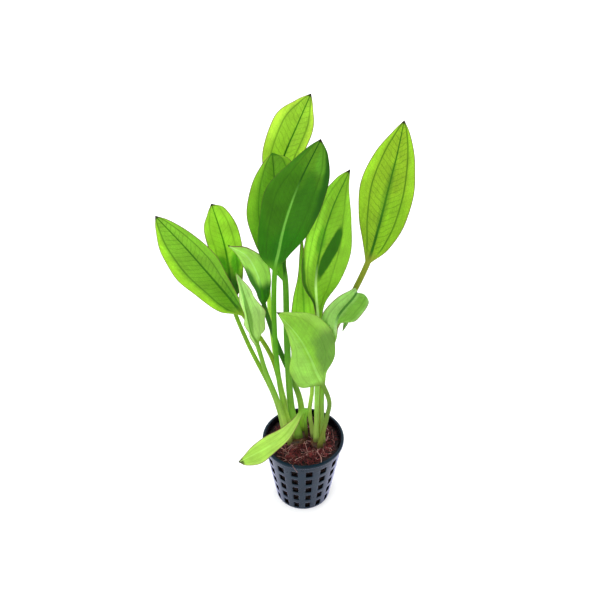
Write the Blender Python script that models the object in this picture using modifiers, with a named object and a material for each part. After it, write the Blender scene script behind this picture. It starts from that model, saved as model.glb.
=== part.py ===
"""A potted amazon sword plant: a net pot, its coco-fibre plug, two crowns and thirteen leaves.

The origin is at the middle of the pot's underside, on the surface it stands on. +Z is up, and
the plant is seen from -Y. Every leaf is one piece that grew as one: a blade with its stalk.
"""

import math
from typing import NamedTuple

import bmesh
import bpy
import numpy as np
from mathutils import Matrix

MM = 0.001

# Net pot: a tapered cup with a lip, 16 columns of 5 square holes and a slotted floor
POT_HEIGHT = 48 * MM
LIP_RADIUS = 25 * MM
LIP_HEIGHT = 2 * MM
MOUTH_RADIUS = 24.2 * MM
BASE_RADIUS = 17 * MM
WALL = 1.0 * MM
POT_SEGMENTS = 32
HOLE_COLUMNS = 16
HOLE_ROWS = 5
LOWEST_HOLE = 4.6 * MM
HOLE_PITCH = 8.6 * MM
HOLE_HEIGHT = 5.2 * MM
HOLE_SHARE = 0.46
HOLE_COLUMN_ANGLE = math.radians(-81)    # one column stands 9 degrees right of the front
FLOOR_SLOTS = 8
SLOT_SIZE = (7 * MM, 2.6 * MM)
SLOT_MIDDLE = 9.5 * MM
CUTTER_DEPTH = 5 * MM

# Plug of coco fibre that fills the pot, and the crowns half sunk in it
GAP = 0.3 * MM
PLUG_TOP = 44 * MM
PLUG_RINGS = 5
PLUG_SEGMENTS = 24
LUMP_HEIGHT = 0.5 * MM
LUMP_LENGTHS = (18 * MM, 23 * MM, 33 * MM)
CROWN_TOP = 45.4 * MM
CROWN_MIDDLE = 42 * MM
CROWN_HALF_DEPTH = 6 * MM
CROWNS = {    # middle and size across, in millimetres
    "crown_left": ((-4.6, 3.8), (16.4, 15.4)),
    "crown_right": ((9.2, -1.5), (10.6, 11)),
}

# Leaves
RING_POINTS = 12
STALK_STEPS = 7
BLADE_STEPS = 12
CURVE_STEPS = 24
BEND_LENGTH = 12        # a bend of one radian draws as many rings as this length in millimetres
TIP_CROWDING = 0.35
BLADE_THICKNESS = 0.9
STALK_FLATNESS = 0.8
STALK_FADE = 8          # power with which the stalk's thickness fades into the blade
FOLD_ONSET = 0.125      # share of the blade over which its fold opens
TIP_HALF_SIZE = 0.15
FRONT = (0.0, -0.8, 0.6)
OUTLINE_PLACES = (0.15, 0.35, 0.55, 0.75, 0.92)

POT_COLOUR = (0.055, 0.070, 0.085)
PLUG_COLOUR = (0.060, 0.018, 0.012)
CROWN_COLOUR = (0.130, 0.060, 0.020)
YOUNG_GREEN = (0.35, 0.70, 0.08)
LEAF_GREEN = (0.22, 0.52, 0.04)
DEEP_GREEN = (0.08, 0.30, 0.02)
PALE_GREEN = (0.32, 0.58, 0.14)


class Leaf(NamedTuple):
    """One leaf in millimetres and degrees, with left and right as seen from its upper side."""

    name: str
    stalk: tuple    # foot, lower and upper points of the stalk
    blade: tuple    # collar, three points of the midrib, tip
    left: tuple     # half widths left of the midrib at OUTLINE_PLACES, from collar to tip
    right: tuple    # half widths right of it
    thick: tuple    # width of the stalk at its foot and at its collar
    turn: float     # how far the upper side is turned to its right from facing the front
    fold: tuple     # how far each half rises from the midrib, at the collar and at the tip
    colour: tuple   # of the whole leaf, linear


LEAVES = (
    Leaf("leaf_far_left", ((-8.2, 5.2, 46), (-12, 9, 74), (-17, 11, 104)),
         ((-34, 10, 136), (-43, 10, 151), (-52, 9, 166), (-63, 9, 183), (-76.5, 10, 201)),
         (8, 12.5, 15, 12.5, 5.5), (4, 7.5, 12, 10, 5), (3.4, 2.6), -15, (25, 15), LEAF_GREEN),
    Leaf("leaf_left_back", ((-10.4, 1.2, 46), (-17.5, 4, 79), (-32.5, 14, 112)),
         ((-41, 23, 134), (-42, 28, 152), (-44, 31, 168), (-47, 34, 180), (-50, 36, 191)),
         (5.5, 8.5, 9, 9, 4), (6, 8.5, 10, 10, 7), (3.4, 2.4), 0, (15, 8), LEAF_GREEN),
    Leaf("leaf_left_folded", ((-8, -1.8, 46), (-14.6, -1.8, 78), (-22, -1, 104)),
         ((-26, -1, 123), (-29, -2, 132), (-31, -4, 148), (-33, -6, 166), (-35, -7, 177)),
         (4.5, 8, 8, 6, 3), (5, 10.5, 8.5, 5, 2), (3.4, 2.8), 37, (37, 37), PALE_GREEN),
    Leaf("leaf_left_arching", ((1, 8.5, 46), (0, 9.5, 70), (-14.7, 10, 112.7)),
         ((-22, 5, 148), (-23, 3, 161), (-25, 1, 172), (-30, -3, 186), (-38, -8, 195)),
         (4, 7, 7.5, 6, 2.5), (6, 8, 7.5, 4, 1.5), (3.0, 2.4), 0, (-35, -35), PALE_GREEN),
    Leaf("leaf_top", ((-4.4, 6.2, 46), (-12, 12, 70), (-19, 16, 130)),
         ((-19, 24, 184), (-16, 28, 200), (-11, 34, 221), (-4, 39, 237), (3, 44, 252)),
         (3, 6.5, 11, 12, 5.5), (4, 8, 9, 9, 4), (3.2, 2.4), 0, (15, 8), YOUNG_GREEN),
    Leaf("leaf_front_tall", ((-6.2, 1.6, 46), (-13, 1, 83), (-16, -1, 130)),
         ((-15, 0, 176), (-13, 1, 186), (-10, 3, 200), (-3, 7, 221), (8, 12, 244)),
         (9, 12.5, 15, 9.5, 4), (5, 12, 13, 12.7, 7), (3.4, 2.8), 0, (12, 6), DEEP_GREEN),
    Leaf("leaf_centre_back", ((-2.4, 1.8, 46), (-6, 4, 67), (-9, 7, 116)),
         ((-10, 10, 160), (-12, 13, 181), (-14, 17, 200), (-15, 20, 214), (-16, 24, 230)),
         (8.5, 14, 16.3, 13, 6), (1.5, 8, 13, 13, 10), (4.0, 3.0), 0, (12, 6), LEAF_GREEN),
    Leaf("leaf_right_centre", ((8, -1.5, 46), (8, 0, 76), (8, 1, 108)),
         ((7.6, 2, 132), (5, 4, 166), (7.5, 6.5, 186), (13.5, 9.5, 206), (23, 14, 226)),
         (1.5, 8, 9.5, 9.5, 5.5), (4, 14.6, 18, 12.3, 3.2), (3.2, 2.8), 0, (20, 12), LEAF_GREEN),
    Leaf("leaf_far_right", ((11, 1.5, 46), (10.2, 4, 79), (14, 8, 113.5)),
         ((34.4, 9, 173), (39.4, 11, 195.5), (44.5, 15, 222.5), (46.5, 17, 232), (49.5, 22, 249)),
         (6.5, 12.2, 14.8, 11.8, 4.6), (8.5, 13, 13.5, 10, 4.5), (3.0, 2.2), 0, (12, 6), LEAF_GREEN),
    Leaf("leaf_right_curled", ((12, -2, 46), (11, -3.4, 86), (12, -6, 112)),
         ((17, -8, 134), (18.5, -11, 152), (25.4, -10, 162.5), (28.4, -2.5, 161), (22, 2, 131)),
         (8.6, 7.4, 2.8, 3, 1.5), (1.2, 8, 9.3, 2.5, 1.2), (2.8, 2.2), -14, (16, 10), PALE_GREEN),
    Leaf("leaf_front_low", ((10, -5.6, 46), (14, -8, 74), (15, -9, 86)),
         ((11, -10, 101), (7, -11, 112), (3, -12, 125), (-4, -14, 142), (-12.8, -15, 157)),
         (11.5, 12, 7, 4, 1), (5.8, 14, 17.5, 16, 6), (3.0, 2.6), 0, (10, 5), YOUNG_GREEN),
    Leaf("leaf_over_rim", ((2, 2.8, 46), (1.3, 0, 64), (2, -3, 74)),
         ((-1, -6, 75), (-6, -12, 71), (-12, -17, 66), (-24, -24, 62), (-37, -32, 61)),
         (2.4, 3.8, 5, 6.5, 4), (2.4, 4.8, 6.4, 5.2, 2), (2.8, 2.4), 0, (10, 5), YOUNG_GREEN),
    Leaf("leaf_right_back", ((6.3, 2.2, 46), (3.8, 4, 65), (5.2, 6, 82)),
         ((4, 7, 101), (1, 9, 126), (0, 11, 146), (-1, 14, 165), (-1, 18, 184)),
         (6, 8, 6, 2, 1), (6, 7, 5, 2, 1), (2.8, 2.4), 0, (10, 5), YOUNG_GREEN),
)


def clear_scene():
    for existing in list(bpy.data.objects):
        bpy.data.objects.remove(existing, do_unlink=True)


def new_collection(name):
    collection = bpy.data.collections.new(name)
    bpy.context.scene.collection.children.link(collection)
    return collection


def surface_material(name, colour, roughness):
    material = bpy.data.materials.new(name)
    material.use_nodes = True
    shader = material.node_tree.nodes["Principled BSDF"]
    shader.inputs["Base Color"].default_value = (*colour, 1)
    shader.inputs["Roughness"].default_value = roughness
    shader.inputs["Metallic"].default_value = 0
    return material


def mesh_object(name, bm, collection):
    """Turn a bmesh into an object whose faces point outward."""
    bmesh.ops.recalc_face_normals(bm, faces=bm.faces)
    mesh = bpy.data.meshes.new(name)
    bm.to_mesh(mesh)
    bm.free()
    piece = bpy.data.objects.new(name, mesh)
    collection.objects.link(piece)
    return piece


def turned_object(name, profile, segments, collection):
    """Spin a profile of (radius, height) points round the Z axis."""
    bm = bmesh.new()
    points = [bm.verts.new((radius, 0, height)) for radius, height in profile]
    for start, end in zip(points, points[1:]):
        bm.edges.new((start, end))
    mesh = bpy.data.meshes.new(name)
    bm.to_mesh(mesh)
    bm.free()
    piece = bpy.data.objects.new(name, mesh)
    collection.objects.link(piece)
    spin = piece.modifiers.new("Turned", "SCREW")
    spin.steps = segments
    spin.render_steps = segments
    spin.use_merge_vertices = True
    spin.merge_threshold = 0.01 * MM
    return piece


def shade_round(piece, sharp_angle):
    piece.data.shade_smooth()
    piece.data.set_sharp_from_angle(angle=math.radians(sharp_angle))


def fixed_mesh(piece):
    """Replace an object's mesh by its evaluated one, and drop its modifiers."""
    evaluated = piece.evaluated_get(bpy.context.evaluated_depsgraph_get())
    mesh = bpy.data.meshes.new_from_object(evaluated)
    piece.modifiers.clear()
    piece.data = mesh


def cut(piece, cutter):
    cutter.hide_render = True
    cutter.display_type = "WIRE"
    boolean = piece.modifiers.new("Cut by " + cutter.name, "BOOLEAN")
    boolean.operation = "DIFFERENCE"
    boolean.object = cutter


def outer_radius(height):
    """Radius of the pot's outside at a height above its underside."""
    share = height / (POT_HEIGHT - LIP_HEIGHT)
    return BASE_RADIUS + (MOUTH_RADIUS - BASE_RADIUS) * share


def add_box(bm, size, place, turn):
    """Add a box to a bmesh, moved out to a place and then turned round the Z axis."""
    matrix = Matrix.Rotation(turn, 4, "Z") @ Matrix.Translation(place) @ Matrix.Diagonal((*size, 1))
    bmesh.ops.create_cube(bm, size=1, matrix=matrix)


def hole_cutters(collection):
    """The square holes of the wall and the slots of the floor, as one object of loose boxes."""
    bm = bmesh.new()
    facet = math.tau / POT_SEGMENTS
    for column in range(HOLE_COLUMNS):
        turn = facet / 2 + column * math.tau / HOLE_COLUMNS
        for row in range(HOLE_ROWS):
            height = LOWEST_HOLE + row * HOLE_PITCH
            radius = outer_radius(height)
            width = HOLE_SHARE * math.tau * radius / HOLE_COLUMNS
            add_box(bm, (CUTTER_DEPTH, width, HOLE_HEIGHT), (radius, 0, height), turn)
    for slot in range(FLOOR_SLOTS):
        turn = facet / 2 + slot * math.tau / FLOOR_SLOTS
        add_box(bm, (*SLOT_SIZE, CUTTER_DEPTH), (SLOT_MIDDLE, 0, 0), turn)
    return mesh_object("hole_boxes", bm, collection)


def build_pot(parts, cutters):
    inner_mouth = MOUTH_RADIUS - WALL
    profile = (
        (0, WALL),
        (BASE_RADIUS - WALL, WALL),
        (inner_mouth, POT_HEIGHT),
        (LIP_RADIUS, POT_HEIGHT),
        (LIP_RADIUS, POT_HEIGHT - LIP_HEIGHT),
        (MOUTH_RADIUS, POT_HEIGHT - LIP_HEIGHT),
        (BASE_RADIUS, 0),
        (0, 0),
    )
    pot = turned_object("net_pot", profile, POT_SEGMENTS, parts)
    holes = hole_cutters(cutters)
    cut(pot, holes)
    fixed_mesh(pot)
    shade_round(pot, 30)
    first_column = math.tau / POT_SEGMENTS / 2
    pot.rotation_euler.z = HOLE_COLUMN_ANGLE - first_column
    pot.data.materials.append(surface_material("pot_plastic", POT_COLOUR, 0.45))
    return pot


def lump(x, y):
    """Height of the plug's uneven top above its level, from three crossing waves."""
    across, deep, slanted = (math.tau / length for length in LUMP_LENGTHS)
    return LUMP_HEIGHT * (math.sin(across * x) * math.cos(deep * y) + math.sin(slanted * (x + 2 * y)) / 2)


def build_plug(parts, cutters):
    inner_mouth = MOUTH_RADIUS - WALL
    slope = (inner_mouth - BASE_RADIUS + WALL) / (POT_HEIGHT - WALL)
    bottom = WALL + GAP
    bottom_radius = BASE_RADIUS - WALL - 2 * GAP
    top_radius = bottom_radius + slope * (PLUG_TOP - bottom)
    top = [(top_radius * ring / PLUG_RINGS, PLUG_TOP) for ring in range(PLUG_RINGS + 1)]
    profile = (*top, (bottom_radius, bottom), (0, bottom))
    plug = turned_object("soil_plug", profile, PLUG_SEGMENTS, parts)
    fixed_mesh(plug)
    for vertex in plug.data.vertices:
        radius = math.hypot(vertex.co.x, vertex.co.y)
        if vertex.co.z > PLUG_TOP - GAP and radius < top_radius - GAP:
            vertex.co.z += lump(vertex.co.x, vertex.co.y)
    for name, (middle, size) in CROWNS.items():
        hollow = crown_object(name + "_hollow", middle, size, GAP, cutters)
        cut(plug, hollow)
    fixed_mesh(plug)
    shade_round(plug, 40)
    plug.data.materials.append(surface_material("coco_fibre", PLUG_COLOUR, 0.95))
    return plug


def crown_object(name, middle, size, grown, collection):
    """A flat-topped lump, mostly sunk in the plug, from which the stalks rise."""
    bm = bmesh.new()
    bmesh.ops.create_uvsphere(bm, u_segments=12, v_segments=6, radius=1)
    radii = (size[0] * MM / 2 + grown, size[1] * MM / 2 + grown, CROWN_HALF_DEPTH + grown)
    bmesh.ops.scale(bm, vec=radii, verts=bm.verts)
    bmesh.ops.translate(bm, vec=(middle[0] * MM, middle[1] * MM, CROWN_MIDDLE), verts=bm.verts)
    for vertex in bm.verts:
        vertex.co.z = min(vertex.co.z, CROWN_TOP + grown)
    return mesh_object(name, bm, collection)


def build_crowns(parts):
    for name, (middle, size) in CROWNS.items():
        crown = crown_object(name, middle, size, 0, parts)
        crown.data.materials.append(surface_material(name + "_bark", CROWN_COLOUR, 0.8))
        shade_round(crown, 60)


def smooth_curve(points):
    """A centripetal Catmull-Rom curve through the points, CURVE_STEPS to a span."""
    points = np.asarray(points, float)
    padded = np.vstack([2 * points[0] - points[1], points, 2 * points[-1] - points[-2]])
    chords = np.linalg.norm(np.diff(padded, axis=0), axis=1)
    knots = np.concatenate([[0], np.cumsum(chords ** 0.5)])
    curve = []
    for first in range(len(points) - 1):
        p0, p1, p2, p3 = padded[first:first + 4]
        k0, k1, k2, k3 = knots[first:first + 4]
        for k in np.linspace(k1, k2, CURVE_STEPS, endpoint=False):
            a1 = (k1 - k) / (k1 - k0) * p0 + (k - k0) / (k1 - k0) * p1
            a2 = (k2 - k) / (k2 - k1) * p1 + (k - k1) / (k2 - k1) * p2
            a3 = (k3 - k) / (k3 - k2) * p2 + (k - k2) / (k3 - k2) * p3
            b1 = (k2 - k) / (k2 - k0) * a1 + (k - k0) / (k2 - k0) * a2
            b2 = (k3 - k) / (k3 - k1) * a2 + (k - k1) / (k3 - k1) * a3
            curve.append((k2 - k) / (k2 - k1) * b1 + (k - k1) / (k2 - k1) * b2)
    curve.append(points[-1])
    return np.array(curve)


def unit(vectors):
    return vectors / np.linalg.norm(vectors, axis=-1, keepdims=True)


def carried_normals(tangents, start, first_normal):
    """Carry a normal along the spine both ways from one station, without any twist."""
    normals = np.zeros_like(tangents)
    normals[start] = first_normal
    for step, stations in ((1, range(start + 1, len(tangents))), (-1, range(start - 1, -1, -1))):
        for station in stations:
            before = normals[station - step]
            normals[station] = unit(before - before @ tangents[station] * tangents[station])
    return normals


def half_widths(collar_width, outline, along):
    """Half width of one side of the blade, from the stalk's at the collar to a point."""
    places = (0, *OUTLINE_PLACES, 1)
    values = (collar_width / 2, *outline, TIP_HALF_SIZE)
    scale = max(values)
    curve = smooth_curve([(place, value / scale) for place, value in zip(places, values)])
    return np.interp(along, curve[:, 0], curve[:, 1]) * scale


def leaf_stations(leaf):
    """Places of a leaf's rings with their tangents, and their shares of the stalk and of the blade."""
    spine = smooth_curve(leaf.stalk + leaf.blade)
    run = np.concatenate([[0], np.cumsum(np.linalg.norm(np.diff(spine, axis=0), axis=1))])
    collar = run[len(leaf.stalk) * CURVE_STEPS]
    headings = unit(np.diff(spine, axis=0))
    bends = np.arccos(np.clip(np.sum(headings[1:] * headings[:-1], axis=1), -1, 1))
    effort = run + BEND_LENGTH * np.concatenate([[0, 0], np.cumsum(bends)])
    at_collar = np.interp(collar, run, effort)
    even = np.linspace(0, 1, BLADE_STEPS + 1)
    blade_steps = (1 - TIP_CROWDING) * even + TIP_CROWDING * np.sin(even * math.pi / 2)
    stations = np.concatenate([np.linspace(0, collar, STALK_STEPS, endpoint=False),
                               np.interp(at_collar + (effort[-1] - at_collar) * blade_steps, effort, run)])
    places = np.column_stack([np.interp(stations, run, spine[:, axis]) for axis in range(3)])
    slopes = np.gradient(spine, run, axis=0)
    tangents = unit(np.column_stack([np.interp(stations, run, slopes[:, axis]) for axis in range(3)]))
    along = np.clip((stations - collar) / (run[-1] - collar), 0, 1)
    return places, tangents, np.clip(stations / collar, 0, 1), along


def leaf_directions(leaf, tangents):
    """The direction of the upper side and of the right edge at each ring."""
    upward = tangents[STALK_STEPS]
    facing = unit(np.array(FRONT) - np.dot(FRONT, upward) * upward)
    across = np.cross(upward, facing)
    turn = math.radians(leaf.turn)
    normals = carried_normals(tangents, STALK_STEPS, facing * math.cos(turn) + across * math.sin(turn))
    return normals, np.cross(tangents, normals)


def leaf_rings(leaf):
    """Cross-sections of a leaf from foot to tip: nearly round in the stalk, flat in the blade."""
    places, tangents, up_stalk, along = leaf_stations(leaf)
    normals, sides = leaf_directions(leaf, tangents)
    stalk_half = (leaf.thick[0] + (leaf.thick[1] - leaf.thick[0]) * np.sqrt(up_stalk)) / 2
    left = np.where(along > 0, half_widths(leaf.thick[1], leaf.left, along), stalk_half)
    right = np.where(along > 0, half_widths(leaf.thick[1], leaf.right, along), stalk_half)
    thin = BLADE_THICKNESS / 2
    depth = thin + (stalk_half * STALK_FLATNESS - thin) * (1 - along) ** STALK_FADE
    depth[-1] = TIP_HALF_SIZE
    fold = np.radians(leaf.fold[0] + (leaf.fold[1] - leaf.fold[0]) * along)
    rise = fold * np.clip(along / FOLD_ONSET, 0, 1)
    angles = np.arange(RING_POINTS) * math.tau / RING_POINTS
    rings = []
    for station, place in enumerate(places):
        reach = np.where(np.cos(angles) > 0, right[station], left[station]) * np.cos(angles)
        height = depth[station] * np.sin(angles) + np.abs(reach) * math.sin(rise[station])
        rings.append(place + np.outer(reach * math.cos(rise[station]), sides[station])
                     + np.outer(height, normals[station]))
    return np.array(rings)


def build_leaf(leaf, parts):
    """Loft a leaf through its rings and close both ends."""
    bm = bmesh.new()
    rings = [[bm.verts.new(point * MM) for point in ring] for ring in leaf_rings(leaf)]
    for lower, upper in zip(rings, rings[1:]):
        for corner in range(RING_POINTS):
            after = (corner + 1) % RING_POINTS
            bm.faces.new((lower[corner], lower[after], upper[after], upper[corner]))
    bm.faces.new(rings[0])
    bm.faces.new(rings[-1])
    piece = mesh_object(leaf.name, bm, parts)
    shade_round(piece, 50)
    piece.data.materials.append(surface_material(leaf.name + "_green", leaf.colour, 0.45))
    return piece


def main():
    clear_scene()
    parts = new_collection("Potted amazon sword plant")
    cutters = new_collection("Cutters")
    build_pot(parts, cutters)
    build_plug(parts, cutters)
    build_crowns(parts)
    for leaf in LEAVES:
        build_leaf(leaf, parts)


main()
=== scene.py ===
# %% [markdown]
# # A potted amazon sword plant
# The real object is a young water plant in a small plastic net pot filled with coco fibre. Two short
# crowns stand in the fibre, and thirteen stalked leaves rise from them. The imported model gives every
# piece its place in metres. This file gives each piece its fine shape and its finish around that frame.

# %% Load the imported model
import math
from typing import NamedTuple

import bmesh
import bpy
import numpy as np
from mathutils import Matrix, Vector, noise


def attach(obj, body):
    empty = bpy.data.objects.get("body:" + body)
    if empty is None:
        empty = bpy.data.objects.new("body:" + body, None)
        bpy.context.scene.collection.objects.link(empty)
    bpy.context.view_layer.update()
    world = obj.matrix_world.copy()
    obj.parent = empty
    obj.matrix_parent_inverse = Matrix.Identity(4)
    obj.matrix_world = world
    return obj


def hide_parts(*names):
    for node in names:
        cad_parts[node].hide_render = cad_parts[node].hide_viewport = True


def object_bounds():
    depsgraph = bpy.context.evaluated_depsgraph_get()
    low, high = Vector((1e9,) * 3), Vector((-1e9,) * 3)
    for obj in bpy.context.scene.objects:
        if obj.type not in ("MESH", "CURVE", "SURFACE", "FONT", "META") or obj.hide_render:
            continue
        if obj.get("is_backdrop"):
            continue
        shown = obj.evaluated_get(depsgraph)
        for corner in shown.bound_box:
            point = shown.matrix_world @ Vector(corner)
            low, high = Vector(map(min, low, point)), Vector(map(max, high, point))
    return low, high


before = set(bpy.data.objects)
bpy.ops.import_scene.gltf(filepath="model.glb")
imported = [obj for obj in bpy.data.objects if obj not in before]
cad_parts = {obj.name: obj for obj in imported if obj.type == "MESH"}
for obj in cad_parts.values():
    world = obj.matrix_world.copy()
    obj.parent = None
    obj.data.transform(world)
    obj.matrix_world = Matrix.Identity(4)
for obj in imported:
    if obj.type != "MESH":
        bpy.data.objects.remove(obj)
cad_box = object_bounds()
MM = 0.001
BODY = "root"
print("packed nodes:", sorted(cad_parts))

# %% [markdown]
# ## Small helpers
# Colours are written as the hex codes that a colour picker shows. Blender computes with linear light,
# so one function turns such a code into linear values. Another adds a node to a tree, with its settings
# and its links, so that a tree can be read from top to bottom. Inputs go by label or by number: those of
# a Map Range node are its value, the range that it comes from and the range that it goes to.


# %% Object, material, colour and node helpers
def new_object(name, data):
    """Put a new object with this mesh, curve, lamp or camera into the scene."""
    made = bpy.data.objects.new(name, data)
    bpy.context.scene.collection.objects.link(made)
    return made


def new_material(name):
    """A material, with its tree and its Principled shader."""
    material = bpy.data.materials.new(name)
    material.use_nodes = True
    return material, material.node_tree, material.node_tree.nodes["Principled BSDF"]


def linear(code):
    """Turn an sRGB hex code into linear red, green, blue and full alpha, by the standard's formula."""
    shares = [int(code[first:first + 2], 16) / 255 for first in (1, 3, 5)]
    return (*[((share + 0.055) / 1.055) ** 2.4 if share > 0.04045 else share / 12.92 for share in shares], 1)


def add(tree, kind, inputs=None, **settings):
    """Add a node, change its settings, and give its inputs values or links."""
    made = tree.nodes.new(kind)
    for setting, value in settings.items():
        setattr(made, setting, value)
    for socket, value in (inputs or {}).items():
        if isinstance(value, bpy.types.NodeSocket):
            tree.links.new(value, made.inputs[socket])
        else:
            made.inputs[socket].default_value = value
    return made


MATH = "ShaderNodeMath"
VECTOR = "ShaderNodeVectorMath"
RANGE = "ShaderNodeMapRange"
SPLIT = "ShaderNodeSeparateXYZ"
JOIN = "ShaderNodeCombineXYZ"
NOISE = "ShaderNodeTexNoise"
RANDOM = "FunctionNodeRandomValue"
MIX = "ShaderNodeMix"
MIX_A, MIX_B, MIX_OUT = 6, 7, 2     # the colour sockets of a Mix node
NOISE_LOW, NOISE_HIGH = 0.3, 0.7    # most of a noise lies between these
NOISE_MIDDLE = (0.5, 0.5, 0.5)

# %% [markdown]
# ## The camera
# The camera looks down on the plant from a little above it, as one looks at a pot on a table. Its place
# and lens were worked out from the ellipses of the pot's rim and base, whose real sizes are known. A
# lens measured in pixels turns into millimetres through the width of the sensor.

# %% Camera
IMAGE_PIXELS = 600
FOCAL_PIXELS = 891
SENSOR_WIDTH = 36    # in millimetres
EYE = (-2 * MM, -380 * MM, 450 * MM)
PITCH = math.radians(37.9)
NEAREST = 0.01
FARTHEST = 50

camera_data = bpy.data.cameras.new("Camera")
camera_data.sensor_width = SENSOR_WIDTH
camera_data.lens = SENSOR_WIDTH * FOCAL_PIXELS / IMAGE_PIXELS
camera_data.clip_start = NEAREST
camera_data.clip_end = FARTHEST
camera = new_object("Camera", camera_data)
camera.location = EYE
camera.rotation_euler = (math.pi / 2 - PITCH, 0, 0)
bpy.context.scene.camera = camera
print("lens in millimetres:", round(camera_data.lens, 1))

# %% [markdown]
# ## Floor and light
# The plant stands on a white table in soft light from all sides, so its leaves glow with the light
# that comes through them. A bright even sky gives that light. One large soft lamp at the upper left
# gives the leaves their sheen, and one behind them strengthens the glow.

# %% Floor, sky and lamps
FLOOR_SIZE = 12
FLOOR_WHITE = "#fcfcfc"
PAPER_ROUGHNESS = 0.9
SKY_WHITE = "#ffffff"
SKY_STRENGTH = 1.35
PLANT_MIDDLE = Vector((0, 0, 0.13))
LAMPS = {    # place, size and power
    "Key lamp": ((-0.7, -0.5, 1.1), 1.1, 6),
    "Back lamp": ((0.5, 1.1, 0.8), 1.0, 5),
}

paper, _, paper_shader = new_material("White paper")
paper_shader.inputs["Base Color"].default_value = linear(FLOOR_WHITE)
paper_shader.inputs["Roughness"].default_value = PAPER_ROUGHNESS
edge = FLOOR_SIZE / 2
floor_corners = [(-edge, -edge, 0), (edge, -edge, 0), (edge, edge, 0), (-edge, edge, 0)]
floor_mesh = bpy.data.meshes.new("Floor")
floor_mesh.from_pydata(floor_corners, [], [(0, 1, 2, 3)])
floor_mesh.materials.append(paper)
floor = new_object("Floor", floor_mesh)
floor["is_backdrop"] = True

sky = bpy.data.worlds.new("Sky")
sky.use_nodes = True
sky.node_tree.nodes["Background"].inputs["Color"].default_value = linear(SKY_WHITE)
sky.node_tree.nodes["Background"].inputs["Strength"].default_value = SKY_STRENGTH
bpy.context.scene.world = sky
bpy.context.scene.view_settings.view_transform = "Standard"

for name, (place, size, power) in LAMPS.items():
    lamp_data = bpy.data.lights.new(name, "AREA")
    lamp_data.size = size
    lamp_data.energy = power
    lamp = new_object(name, lamp_data)
    lamp.location = place
    lamp.rotation_euler = (PLANT_MIDDLE - Vector(place)).to_track_quat("-Z", "Y").to_euler()
print("lamps:", list(LAMPS))

# %% [markdown]
# ## How a piece is finished
# A piece is a plain mesh whose object sits at the origin, as the imported nodes do. Modifiers are applied
# by taking the evaluated mesh. The piece then rides on the plant's one body, and may stand for an
# imported node that is no longer shown.


# %% Piece helpers
def mesh_from(name, bm, closed=True):
    """Turn a bmesh into a mesh; a closed one gets its faces outward."""
    if closed:
        bmesh.ops.recalc_face_normals(bm, faces=bm.faces)
    mesh = bpy.data.meshes.new(name)
    bm.to_mesh(mesh)
    bm.free()
    return mesh


def fixed_mesh(piece):
    """Replace an object's mesh by its evaluated one, and drop its modifiers."""
    evaluated = piece.evaluated_get(bpy.context.evaluated_depsgraph_get())
    mesh = bpy.data.meshes.new_from_object(evaluated)
    piece.modifiers.clear()
    piece.data = mesh
    return piece


def place_piece(piece, slot, *nodes):
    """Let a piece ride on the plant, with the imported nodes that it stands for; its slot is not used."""
    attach(piece, BODY)
    if nodes:
        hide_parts(*nodes)
    triangles = sum(len(face.vertices) - 2 for face in piece.data.polygons)
    print(piece.name, "has", triangles, "triangles")


# %% [markdown]
# ## Geometry Nodes from a script
# A tree gets named inputs for its sizes, so that it can be used again with other values. A modifier
# holds those values under each socket's identifier, and they are set before the object is first
# evaluated. What comes out is turned into a plain mesh.


# %% Geometry Nodes helpers
def new_tree(name, inputs):
    """An empty Geometry Nodes tree with named inputs; returns the tree and the inputs' sockets."""
    tree = bpy.data.node_groups.new(name, "GeometryNodeTree")
    for label, kind in inputs.items():
        tree.interface.new_socket(label, in_out="INPUT", socket_type="NodeSocket" + kind)
    tree.interface.new_socket("Geometry", in_out="OUTPUT", socket_type="NodeSocketGeometry")
    return tree, tree.nodes.new("NodeGroupInput").outputs


def end_tree(tree, geometry, material):
    """Close a tree with real geometry and its material."""
    real = add(tree, "GeometryNodeRealizeInstances", {"Geometry": geometry})
    coated = add(tree, "GeometryNodeSetMaterial", {"Geometry": real.outputs[0], "Material": material})
    add(tree, "NodeGroupOutput", {"Geometry": coated.outputs[0]})


def grow(piece, tree, values):
    """Put a tree on an object, with its values."""
    modifier = piece.modifiers.new(tree.name, "NODES")
    modifier.node_group = tree
    for socket in tree.interface.items_tree:
        if socket.in_out == "INPUT" and socket.name in values:
            modifier[socket.identifier] = values[socket.name]
    return piece


# %% [markdown]
# ## The pot's plastic
# The pot is injection-moulded black polypropylene, semi-gloss, with a fine grain from the mould. Black
# plastic shows mostly what it reflects: its wall faces the white table and looks slate blue, and what
# faces away looks black. A soft bluish sheen gives that dusty look, and a weak grain in bump and
# roughness keeps the reflection from looking like glass. The inside and the edges of the holes lie in
# shade and get painted shade: a second material that is blacker and has almost no sheen.

# %% Material of the pot
GRAIN = 0.6 * MM
GRAIN_DEPTH = 0.02 * MM
SMUDGE = 9 * MM
PLASTIC_ROUGHNESS = (0.22, 0.36)    # where a smudge is weak, and where it is strong
SHEEN_TINT = "#ccceff"
SHEEN_ROUGHNESS = 0.3


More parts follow.
